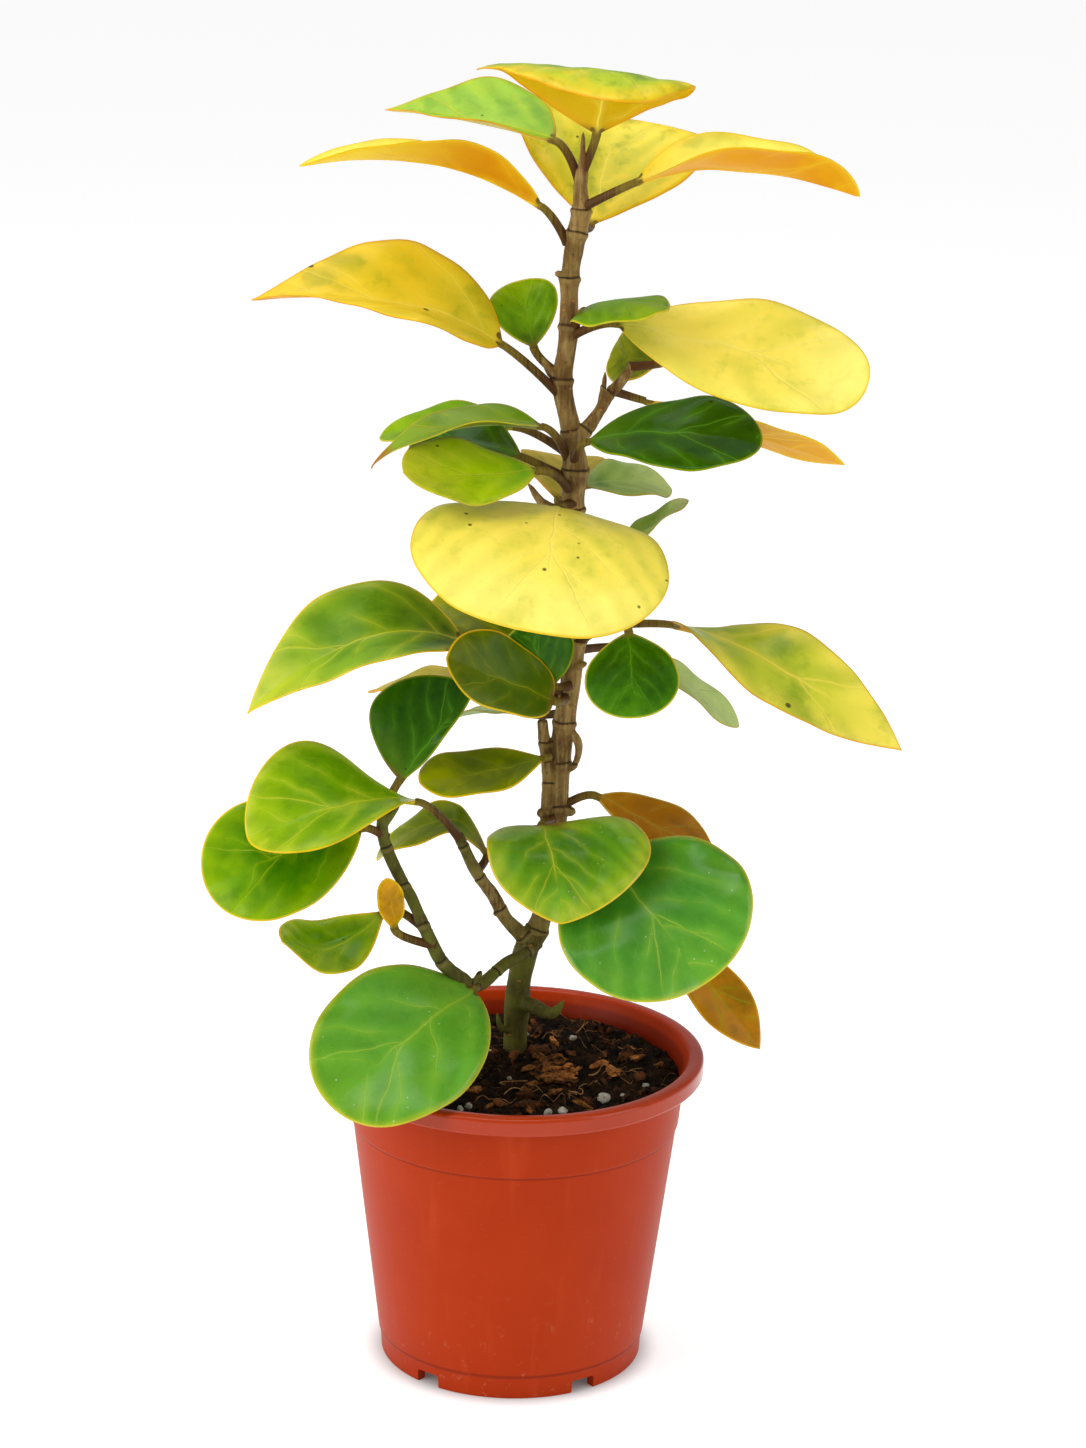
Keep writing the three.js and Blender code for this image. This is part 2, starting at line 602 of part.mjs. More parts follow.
// The trunk's places and radii, with a low ring at each leaf scar.
function trunkStations() {
  const heights = [];
  const bottom = TRUNK[0][2];
  const top = TRUNK[TRUNK.length - 1][2];
  const steps = Math.round((top - bottom) / TRUNK_STEP);
  for (let k = 0; k <= steps; k += 1) {
    const height = bottom + ((top - bottom) * k) / steps;
    if (TRUNK_NODES.every((node) => Math.abs(node - height) > NODE_HALF_HEIGHT + NODE_CLEARANCE)) {
      heights.push([height, 0]);
    }
  }
  for (const node of TRUNK_NODES) {
    heights.push([node - NODE_HALF_HEIGHT, 0], [node, NODE_RISE], [node + NODE_HALF_HEIGHT, 0]);
  }
  heights.sort((a, b) => a[0] - b[0]);
  return heights.map(([height, rise]) => {
    const place = trunkAt(height);
    place[3] += rise;
    return place;
  });
}

function stemSolid(extra) {
  let stem = taperedBar(trunkStations(), TRUNK_SIDES, extra);
  for (const branch of BRANCHES) {
    stem = stem.add(taperedBar(branch, BRANCH_SIDES, extra));
  }
  for (const spur of SPURS) {
    stem = stem.add(taperedBar(spur, SPUR_SIDES, extra));
  }
  return stem;
}

function latheSolid(profile, sides) {
  const lathe = new THREE.LatheGeometry(profile.map(([r, z]) => new THREE.Vector2(r, z)), sides);
  lathe.rotateX(Math.PI / 2);
  return toSolid(lathe);
}

// Radius of the pot's inner wall at a height.
function innerRadius(height) {
  const share = (height - FLOOR_TOP) / (UNDER_RIM_HEIGHT - FLOOR_TOP);
  return THREE.MathUtils.lerp(BODY_FOOT_RADIUS - WALL, BODY_TOP_RADIUS - WALL, share);
}

function potSolid() {
  const rimFoot = POT_HEIGHT - RIM_BAND;
  const profile = [
    [0, FLOOR_UNDERSIDE],
    [FOOT_RADIUS - FOOT_RING_WIDTH, FLOOR_UNDERSIDE],
    [FOOT_RADIUS - FOOT_RING_WIDTH, 0],
    [FOOT_RADIUS, 0],
    [FOOT_RADIUS + FOOT_FLARE, FOOT_STEP_HEIGHT - FOOT_FLARE],
    [BODY_FOOT_RADIUS, FOOT_STEP_HEIGHT + FOOT_FLARE],
    [BODY_STEP_RADIUS, STEP_LINE_HEIGHT - STEP_LINE_RISE],
    [BODY_STEP_RADIUS + STEP_LINE_RISE, STEP_LINE_HEIGHT],
    [BODY_TOP_RADIUS, UNDER_RIM_HEIGHT],
    [RIM_RADIUS - WALL - RIM_HOLLOW, POT_HEIGHT - WALL - RIM_CREST],
    [RIM_RADIUS - WALL, POT_HEIGHT - WALL - RIM_CREST - RIM_ROUNDING],
    [RIM_RADIUS - WALL, rimFoot],
    [RIM_RADIUS - RIM_ROUNDING / 2, rimFoot],
    [RIM_RADIUS, rimFoot + RIM_ROUNDING],
    [RIM_RADIUS, POT_HEIGHT - RIM_CREST],
    [RIM_RADIUS - RIM_ROUNDING, POT_HEIGHT - RIM_ROUNDING],
    [RIM_RADIUS - RIM_CREST, POT_HEIGHT],
    [RIM_INNER_RADIUS + RIM_ROUNDING, POT_HEIGHT - RIM_ROUNDING],
    [RIM_INNER_RADIUS, POT_HEIGHT - RIM_CREST],
    [innerRadius(UNDER_RIM_HEIGHT), UNDER_RIM_HEIGHT],
    [innerRadius(FLOOR_TOP), FLOOR_TOP],
    [0, FLOOR_TOP],
  ];
  let pot = latheSolid(profile, POT_SIDES);
  for (let k = 0; k < NOTCH_COUNT; k += 1) {
    const angle = degrees(NOTCH_FIRST_ANGLE - 90 + (360 * k) / NOTCH_COUNT);
    const notch = new THREE.BoxGeometry(CUTTER_LENGTH, NOTCH_WIDTH, NOTCH_HEIGHT * 2);
    notch.translate(FOOT_RADIUS - FOOT_RING_WIDTH / 2, 0, 0);
    notch.rotateZ(angle);
    pot = pot.subtract(toSolid(notch));
    const radius = DRAIN_HOLE_RADIUS;
    const drain = new THREE.CylinderGeometry(radius, radius, CUTTER_LENGTH, DRAIN_HOLE_SIDES);
    drain.rotateX(Math.PI / 2);
    drain.translate(DRAIN_HOLE_CIRCLE, 0, FLOOR_TOP);
    drain.rotateZ(angle);
    pot = pot.subtract(toSolid(drain));
  }
  return pot;
}

// Height of the mix's surface: a low mound round the stem with small hollows and humps.
function soilHeight(x, y) {
  const fromStem = Math.hypot(x - TRUNK[2][0], y - TRUNK[2][1]);
  const mound = SOIL_MOUND * Math.exp(-((fromStem / SOIL_MOUND_RADIUS) ** 2));
  const broad = Math.sin(x / 2.4 + 1.3) * Math.cos(y / 2.7 - 0.6);
  const fine = Math.sin(x / 1.2 - y / 1.4) / 2;
  return SOIL_TOP + mound + SOIL_ROUGHNESS * (broad + fine);
}

function soilBody() {
  const bottom = FLOOR_TOP + SOIL_GAP;
  const edgeRadius = innerRadius(SOIL_TOP) - SOIL_GAP - SOIL_FACET_ROOM;
  const points = [new THREE.Vector3(0, 0, soilHeight(0, 0))];
  const corners = [];
  for (let k = 1; k <= SOIL_RINGS; k += 1) {
    for (let j = 0; j < SOIL_SIDES; j += 1) {
      const angle = (2 * Math.PI * j) / SOIL_SIDES;
      const radius = (edgeRadius * k) / SOIL_RINGS;
      const x = radius * Math.cos(angle);
      const y = radius * Math.sin(angle);
      const height = k === SOIL_RINGS ? SOIL_TOP - SOIL_EDGE_DIP : soilHeight(x, y);
      points.push(new THREE.Vector3(x, y, height));
    }
  }
  const footRadius = innerRadius(bottom) - SOIL_GAP - SOIL_FACET_ROOM;
  for (let j = 0; j < SOIL_SIDES; j += 1) {
    const angle = (2 * Math.PI * j) / SOIL_SIDES;
    points.push(new THREE.Vector3(footRadius * Math.cos(angle), footRadius * Math.sin(angle), bottom));
  }
  points.push(new THREE.Vector3(0, 0, bottom));
  for (let j = 0; j < SOIL_SIDES; j += 1) {
    const next = (j + 1) % SOIL_SIDES;
    corners.push(0, 1 + j, 1 + next);
    for (let k = 0; k < SOIL_RINGS; k += 1) {
      const inner = 1 + k * SOIL_SIDES;
      const outer = inner + SOIL_SIDES;
      corners.push(inner + j, outer + j, outer + next, inner + j, outer + next, inner + next);
    }
    const foot = 1 + SOIL_RINGS * SOIL_SIDES;
    corners.push(foot + j, points.length - 1, foot + next);
  }
  return toSolid(triangleMesh(points, corners));
}

// The mix with its coarse crumbs and white grains fused on, and the plain hole that the stem fills.
function soilSolid(stemHole) {
  const random = seededRandom(SOIL_SEED);
  const inside = innerRadius(SOIL_TOP) - SOIL_GAP - SOIL_EDGE_DIP;
  let soil = soilBody();
  for (let k = 0; k < CHUNK_COUNT; k += 1) {
    const size = CHUNK_SIZE[0] + (CHUNK_SIZE[1] - CHUNK_SIZE[0]) * random() ** 2;
    const radius = (inside - size) * Math.sqrt(random());
    const angle = 2 * Math.PI * random();
    const x = radius * Math.cos(angle);
    const y = radius * Math.sin(angle);
    const chunk = new THREE.IcosahedronGeometry(size, 0);
    chunk.scale(...CHUNK_FLATNESS);
    chunk.rotateX(random() * CHUNK_TILT);
    chunk.rotateZ(random() * Math.PI);
    chunk.translate(x, y, soilHeight(x, y));
    soil = soil.add(toSolid(chunk));
  }
  return soil.subtract(stemHole);
}

function buildPlant() {
  const plant = new THREE.Group();
  plant.name = 'potted_mistletoe_fig';
  const stem = stemSolid(0);
  const stemRoom = stemSolid(BARK_GAP);
  plant.add(namedMesh('pot', toGeometry(potSolid()), 0xb5401f, 0.45));
  plant.add(namedMesh('soil', toGeometry(soilSolid(stemRoom)), 0x2e2118, 0.95));
  plant.add(namedMesh('stem', toGeometry(stem), 0x6b543a, 0.85));
  for (const line of LEAVES) {
    const leaf = readLeaf(line);
    const solid = leafSolid(leaf).subtract(stemRoom);
    plant.add(namedMesh(`leaf_${leaf.name}`, toGeometry(solid), HUES[leaf.hue], 0.4));
  }
  plant.position.x = PLANT_SHIFT_X;
  return plant;
}

const plant = buildPlant();

export default plant;
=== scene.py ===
"""Looks of the potted mistletoe fig: fine leaves, ringed bark, moulded pot and potting mix.

Every size is in millimetres, counted from the middle of the pot's foot, and becomes metres in the
row's own frame when a mesh is made. +Z is up and the viewer is on the -Y side.
"""

from __future__ import annotations

import json
import logging
import math
from dataclasses import dataclass, replace
from enum import Enum
from functools import partial

import bpy
import numpy as np
from mathutils import Matrix, Vector

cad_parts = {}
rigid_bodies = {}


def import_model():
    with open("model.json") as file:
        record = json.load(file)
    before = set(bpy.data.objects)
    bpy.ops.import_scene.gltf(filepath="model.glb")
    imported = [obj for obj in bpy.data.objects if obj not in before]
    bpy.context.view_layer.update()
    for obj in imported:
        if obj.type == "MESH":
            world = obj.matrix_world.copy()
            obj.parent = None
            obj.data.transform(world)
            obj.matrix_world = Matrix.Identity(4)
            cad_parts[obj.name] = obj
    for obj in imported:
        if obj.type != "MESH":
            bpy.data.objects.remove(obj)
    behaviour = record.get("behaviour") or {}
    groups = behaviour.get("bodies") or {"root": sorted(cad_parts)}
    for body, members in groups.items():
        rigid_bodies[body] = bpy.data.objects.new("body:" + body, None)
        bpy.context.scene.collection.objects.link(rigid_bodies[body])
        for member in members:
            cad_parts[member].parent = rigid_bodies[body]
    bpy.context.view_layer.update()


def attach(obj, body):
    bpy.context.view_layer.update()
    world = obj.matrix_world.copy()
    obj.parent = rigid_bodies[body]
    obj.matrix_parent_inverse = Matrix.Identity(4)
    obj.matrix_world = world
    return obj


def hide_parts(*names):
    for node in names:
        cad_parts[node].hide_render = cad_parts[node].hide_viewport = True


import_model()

LOG = logging.getLogger("mistletoe_fig")
Colour = tuple[float, float, float]
Point = tuple[float, float, float]
Station = tuple[float, float, float, float]
Faces = list[tuple[int, ...]]
Inputs = dict[str | int, object]
Piece = bpy.types.Object
Material = bpy.types.Material
Socket = bpy.types.NodeSocket

MM = 0.001
PLANT_SHIFT_X = -10.0
FAR_INSIDE = 9.0
SEED_STEP = 0.37
SLANT = (0.3, 1.0, 0.2)


def srgb(red: int, green: int, blue: int) -> Colour:
    """Turns a screen colour into the linear colour that shaders use.

    Args:
        red: Red from 0 to 255.
        green: Green from 0 to 255.
        blue: Blue from 0 to 255.

    Returns:
        The linear colour.
    """
    linear = []
    for level in (red / 255, green / 255, blue / 255):
        linear.append(level / 12.92 if level <= 0.04045 else ((level + 0.055) / 1.055) ** 2.4)
    return linear[0], linear[1], linear[2]


def smooth_steps(values: np.ndarray, low: float, high: float) -> np.ndarray:
    """Eases each number from 0 at low to 1 at high."""
    share = np.clip((values - low) / (high - low), 0.0, 1.0)
    return share * share * (3 - 2 * share)


def hump(gap: np.ndarray, width: float | np.ndarray) -> np.ndarray:
    """Gives 1 where the gap is 0 and fades to 0 over the width on both sides."""
    return np.exp(-((gap / width) ** 2))


def unit(rows: np.ndarray) -> np.ndarray:
    """Brings each row to length 1."""
    return rows / np.linalg.norm(rows, axis=-1, keepdims=True)


def circle(sides: int) -> tuple[np.ndarray, np.ndarray]:
    """Gives the cosines and sines of even steps round a circle."""
    angles = np.arange(sides) * 2 * np.pi / sides
    return np.cos(angles), np.sin(angles)


def ripple(points: np.ndarray, size: float, seed: int, waves: int = 14) -> np.ndarray:
    """Adds up sine waves in seeded directions, for soft unevenness without a grid.

    Args:
        points: Places in millimetres, one row each.
        size: Rough length of a wave in millimetres.
        seed: Seed of the directions.
        waves: How many waves are added.

    Returns:
        One number for each place, mostly between -1 and 1.
    """
    random = np.random.default_rng(seed)
    directions = unit(random.normal(size=(waves, 3)))
    lengths = size * random.uniform(0.6, 1.6, waves)
    phases = random.uniform(0, 2 * math.pi, waves)
    total = np.zeros(len(points))
    for direction, length, phase in zip(directions, lengths, phases):
        total += np.sin(points @ direction * (2 * math.pi / length) + phase)
    return total / math.sqrt(waves)


def to_row(points: np.ndarray) -> np.ndarray:
    """Turns millimetres from the pot's foot into metres in the row's frame."""
    return (np.asarray(points, float) + np.array([PLANT_SHIFT_X, 0.0, 0.0])) * MM


def tube_faces(rings: int, sides: int) -> Faces:
    """Joins closed rings of points, laid one after another, with four-cornered faces.

    Args:
        rings: How many rings there are.
        sides: Points on each ring.

    Returns:
        Corners of each face.
    """
    faces = []
    for low in range(0, (rings - 1) * sides, sides):
        high = low + sides
        for j in range(sides):
            following = (j + 1) % sides
            faces.append((low + j, low + following, high + following, high + j))
    return faces


def end_caps(rings: int, sides: int) -> Faces:
    """Closes the first and the last of the rings with one flat face each."""
    last = (rings - 1) * sides
    return [tuple(range(sides - 1, -1, -1)), tuple(range(last, last + sides))]


def turned_faces(first: int, rings: int, sides: int, low_pole: int, high_pole: int) -> Faces:
    """Joins the rings of a turned body and closes it at a point below and a point above.

    Args:
        first: Number of the first ring's first point.
        rings: How many rings there are.
        sides: Points on each ring.
        low_pole: Number of the lower closing point.
        high_pole: Number of the upper closing point.

    Returns:
        Corners of each face.
    """
    faces = []
    last = first + (rings - 1) * sides
    for j in range(sides):
        following = (j + 1) % sides
        faces.append((low_pole, first + following, first + j))
        faces.append((high_pole, last + j, last + following))
        for low in range(first, last, sides):
            high = low + sides
            faces.append((low + j, low + following, high + following, high + j))
    return faces


def new_object(name: str, points: np.ndarray, faces: Faces, smooth: bool = True) -> Piece:
    """Makes a mesh object at the origin from places in millimetres.

    Args:
        name: Name of the piece.
        points: Places in millimetres, one row each.
        faces: Corners of each face, outwards.
        smooth: Whether the faces are shaded smooth.

    Returns:
        The new object, linked to the scene.
    """
    mesh = bpy.data.meshes.new(name)
    mesh.from_pydata(to_row(points).tolist(), [], faces)
    mesh.validate()
    if smooth:
        mesh.shade_smooth()
    piece = bpy.data.objects.new(name, mesh)
    bpy.context.scene.collection.objects.link(piece)
    return piece


def applied(piece: Piece) -> Piece:
    """Turns a piece with modifiers into a plain mesh and removes the modifiers.

    Args:
        piece: Object whose modifiers are done.

    Returns:
        The same object with its final mesh.
    """
    bpy.context.view_layer.update()
    graph = bpy.context.evaluated_depsgraph_get()
    mesh = bpy.data.meshes.new_from_object(piece.evaluated_get(graph))
    piece.modifiers.clear()
    piece.data = mesh
    return piece


def store(piece: Piece, name: str, values: np.ndarray) -> None:
    """Stores one number at each vertex of a piece, as a named attribute."""
    attribute = piece.data.attributes.new(name, "FLOAT", "POINT")
    attribute.data.foreach_set("value", np.asarray(values, np.float32))


def vertices_mm(piece: Piece) -> np.ndarray:
    """Reads a piece's vertices back in millimetres from the pot's foot.

    Args:
        piece: Object to read.

    Returns:
        Places in millimetres, one row each.
    """
    flat = np.zeros(len(piece.data.vertices) * 3, np.float32)
    piece.data.vertices.foreach_get("co", flat)
    return flat.reshape(-1, 3).astype(float) / MM - np.array([PLANT_SHIFT_X, 0.0, 0.0])


def hand_in(piece: Piece, material: Material | None, slot: str, *nodes: str) -> None:
    """Dresses a finished piece, hangs it on the root body and hides the CAD nodes that it replaces.

    Args:
        piece: Finished object.
        material: Material of the whole piece, or nothing if it has one already.
        slot: The record's material slot; not used.
        nodes: CAD nodes that the piece replaces.
    """
    if material is not None:
        piece.data.materials.clear()
        piece.data.materials.append(material)
    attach(piece, "root")
    if nodes:
        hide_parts(*nodes)
    LOG.info("%s: %d faces", piece.name, len(piece.data.polygons))


def add_node(
    tree: bpy.types.NodeTree, kind: str, settings: dict[str, object], inputs: Inputs
) -> bpy.types.Node:
    """Adds a node to any tree.

    Args:
        tree: Tree that gets the node.
        kind: The node's type.
        settings: Properties that are set first.
        inputs: Values or linked sockets for its own sockets, by name or number.

    Returns:
        The new node.
    """
    node = tree.nodes.new(kind)
    for key, setting in settings.items():
        setattr(node, key, setting)
    for key, given in inputs.items():
        socket = node.inputs[key]
        if isinstance(given, Socket):
            tree.links.new(given, socket)
        elif socket.type == "RGBA" and len(given) == 3:
            socket.default_value = (*given, 1.0)
        else:
            socket.default_value = given
    return node


class Value:
    """A number socket that Python's arithmetic works on."""

    def __init__(self, recipe: Recipe, socket: Socket) -> None:
        """Keeps the socket and the recipe that adds nodes for it."""
        self.recipe = recipe
        self.socket = socket

    def _math(self, operation: str, *others: Value | float) -> Value:
        """Adds one Math node on this value and others."""
        return self.recipe.math(operation, self, *others)

    def __add__(self, other: Value | float) -> Value:
        """Adds."""
        return self._math("ADD", other)

    def __radd__(self, other: float) -> Value:
        """Adds, with a plain number first."""
        return self._math("ADD", other)

    def __sub__(self, other: Value | float) -> Value:
        """Takes away."""
        return self._math("SUBTRACT", other)

    def __rsub__(self, other: float) -> Value:
        """Takes away from a plain number."""
        return self.recipe.math("SUBTRACT", other, self)

    def __mul__(self, other: Value | float) -> Value:
        """Multiplies."""
        return self._math("MULTIPLY", other)

    def __truediv__(self, other: Value | float) -> Value:
        """Divides."""
        return self._math("DIVIDE", other)

    def __pow__(self, other: float) -> Value:
        """Raises to a power."""
        return self._math("POWER", other)

    def __abs__(self) -> Value:
        """Drops the sign."""
        return self._math("ABSOLUTE")

    def fraction(self) -> Value:
        """Keeps what is past the whole number."""
        return self._math("FRACT")

    def sign(self) -> Value:
        """Gives -1, 0 or 1."""
        return self._math("SIGN")

    def largest(self, other: Value | float) -> Value:
        """Keeps the larger of the two."""
        return self._math("MAXIMUM", other)

    def least(self, other: Value | float) -> Value:
        """Keeps the smaller of the two."""
        return self._math("MINIMUM", other)

    def step(self, low: float | Value, high: float | Value) -> Value:
        """Eases from 0 at low to 1 at high; low may be the larger.

        Args:
            low: Where the result is 0.
            high: Where the result is 1.

        Returns:
            The eased value.
        """
        inputs = {"Value": self, "From Min": low, "From Max": high, "To Min": 0.0, "To Max": 1.0}
        node = self.recipe.node("ShaderNodeMapRange", {"interpolation_type": "SMOOTHSTEP"}, inputs)
        return Value(self.recipe, node.outputs["Result"])


class Recipe:
    """Builds one material's nodes."""

    def __init__(self, name: str) -> None:
        """Starts an empty material.

        Args:
            name: Name of the material.
        """
        self.material = bpy.data.materials.new(name)
        self.material.use_nodes = True
        self.tree = self.material.node_tree
        self.tree.nodes.clear()

    def node(self, kind: str, settings: dict[str, object], inputs: Inputs) -> bpy.types.Node:
        """Adds any node, with values or links for its sockets."""
        plain = {key: given.socket if isinstance(given, Value) else given for key, given in inputs.items()}
        return add_node(self.tree, kind, settings, plain)

    def math(self, operation: str, *terms: Value | float) -> Value:
        """Adds a Math node on one to three terms."""
        node = self.node("ShaderNodeMath", {"operation": operation}, dict(enumerate(terms)))
        return Value(self, node.outputs[0])

    def attribute(self, name: str) -> Value:
        """Reads a number stored on the piece's own mesh."""
        node = self.node("ShaderNodeAttribute", {"attribute_name": name}, {})
        return Value(self, node.outputs["Fac"])

    def object_place(self) -> Socket:
        """Gives the place on the object, in metres."""
        return self.node("ShaderNodeTexCoord", {}, {}).outputs["Object"]

    def split(self, vector: Socket) -> tuple[Value, Value, Value]:
        """Splits a vector into its three numbers."""
        node = self.node("ShaderNodeSeparateXYZ", {}, {"Vector": vector})
        return Value(self, node.outputs[0]), Value(self, node.outputs[1]), Value(self, node.outputs[2])

    def joined(self, x: Value | float, y: Value | float, z: Value | float) -> Socket:
        """Makes a vector of three numbers."""
        return self.node("ShaderNodeCombineXYZ", {}, {"X": x, "Y": y, "Z": z}).outputs[0]

    def stretched(self, vector: Socket, scale: Point) -> Socket:
        """Multiplies a vector by a factor for each axis."""
        node = self.node("ShaderNodeVectorMath", {"operation": "MULTIPLY"}, {0: vector, 1: scale})
        return node.outputs[0]

    def noise(self, vector: Socket, scale: float, detail: float = 2.0, rough: float = 0.5) -> Value:
        """Adds cloudy noise around 0.5; rough says how strong its finer layers are."""
        inputs = {"Vector": vector, "Scale": scale, "Detail": detail, "Roughness": rough}
        return Value(self, self.node("ShaderNodeTexNoise", {}, inputs).outputs["Fac"])

    def cells(self, vector: Socket, scale: float, feature: str) -> bpy.types.Node:
        """Adds a cell pattern, whose outputs are Distance and, for F1, Color."""
        return self.node("ShaderNodeTexVoronoi", {"feature": feature}, {"Vector": vector, "Scale": scale})

    def dots(
        self, vector: Socket, scale: float, size: tuple[float, float], rare: tuple[float, float],
        channel: int = 0,
    ) -> Value:
        """Draws a round dot in some of the cells of a cell pattern.

        Args:
            vector: Where the pattern is read.
            scale: How many cells fit in one unit.
            size: Distances from a cell's middle where its dot ends and where it is full.
            rare: Random values of a cell between which its dot appears.
            channel: Which of the cell's random values is used.

        Returns:
            1 inside the dots and 0 outside.
        """
        cells = self.cells(vector, scale, "F1")
        chosen = self.split(cells.outputs["Color"])[channel].step(*rare)
        return Value(self, cells.outputs["Distance"]).step(*size) * chosen

    def mix(
        self, share: Value | float, first: Colour | Socket, second: Colour | Socket,
        blend: str = "MIX",
    ) -> Socket:
        """Mixes two colours.

        Args:
            share: How much of the second colour there is.
            first: First colour.
            second: Second colour.
            blend: How they are blended.

        Returns:
            The mixed colour.
        """
        settings = {"data_type": "RGBA", "blend_type": blend, "clamp_factor": True}
        node = self.node("ShaderNodeMix", settings, {"Factor": share, 6: first, 7: second})
        return node.outputs[2]

    def finish(
        self, colour: Socket, roughness: Value | float, height: Value | None, depth: float,
        **fixed: float | Value,
    ) -> Material:
        """Joins colour, roughness and relief to the surface shader.

        Args:
            colour: Base colour.
            roughness: Roughness.
            height: Relief, or nothing.
            depth: Depth of the relief in metres where height is 1.
            fixed: Other shader values, with underscores for spaces.

        Returns:
            The finished material.
        """
        inputs: Inputs = {"Base Color": colour, "Roughness": roughness}
        for key, value in fixed.items():
            inputs[key.replace("_", " ")] = value
        if height is not None:
            bump = self.node("ShaderNodeBump", {}, {"Strength": 1.0, "Distance": depth, "Height": height})
            inputs["Normal"] = bump.outputs[0]
        shader = self.node("ShaderNodeBsdfPrincipled", {}, inputs)
        self.node("ShaderNodeOutputMaterial", {}, {"Surface": shader.outputs[0]})
        return self.material


# Tint multiplied into the upper face for its dark mottling and for painted shade.
MOTTLE_AND_SHADE_TINT = (0.42, 0.58, 0.3)
LEAF_RELIEF = 0.0005
STALK_FOOT = srgb(84, 54, 26)
STALK_TOP = srgb(122, 104, 36)
JOINT = srgb(40, 28, 10)
GLAND = srgb(48, 38, 16)
# Colour of the painted glints, white dots standing in for sparkles of light.
PAINTED_GLINT = srgb(228, 236, 214)


class LeafRecipe(Recipe):
    """A leaf's recipe, with what its mesh stores and the noise that all its colours share."""

    def __init__(self, name: str) -> None:
        """Starts the material and reads the leaf's own places, from foot to tip and edge to edge.

        Args:
            name: Name of the material.
        """
        super().__init__(name)
        self.along = self.attribute("leaf_along")
        self.across = self.attribute("leaf_across")
        self.edge = self.attribute("leaf_edge")
        self.upper = self.attribute("leaf_upper")
        self.stalk = self.attribute("leaf_stalk")
        self.seed = self.attribute("leaf_seed")
        self.place = self.joined(self.along, self.across, self.seed)
        self.clouds = self.noise(self.place, 3.2, 3.0)
        self.fine = self.noise(self.place, 14.0, 3.0, 0.6)


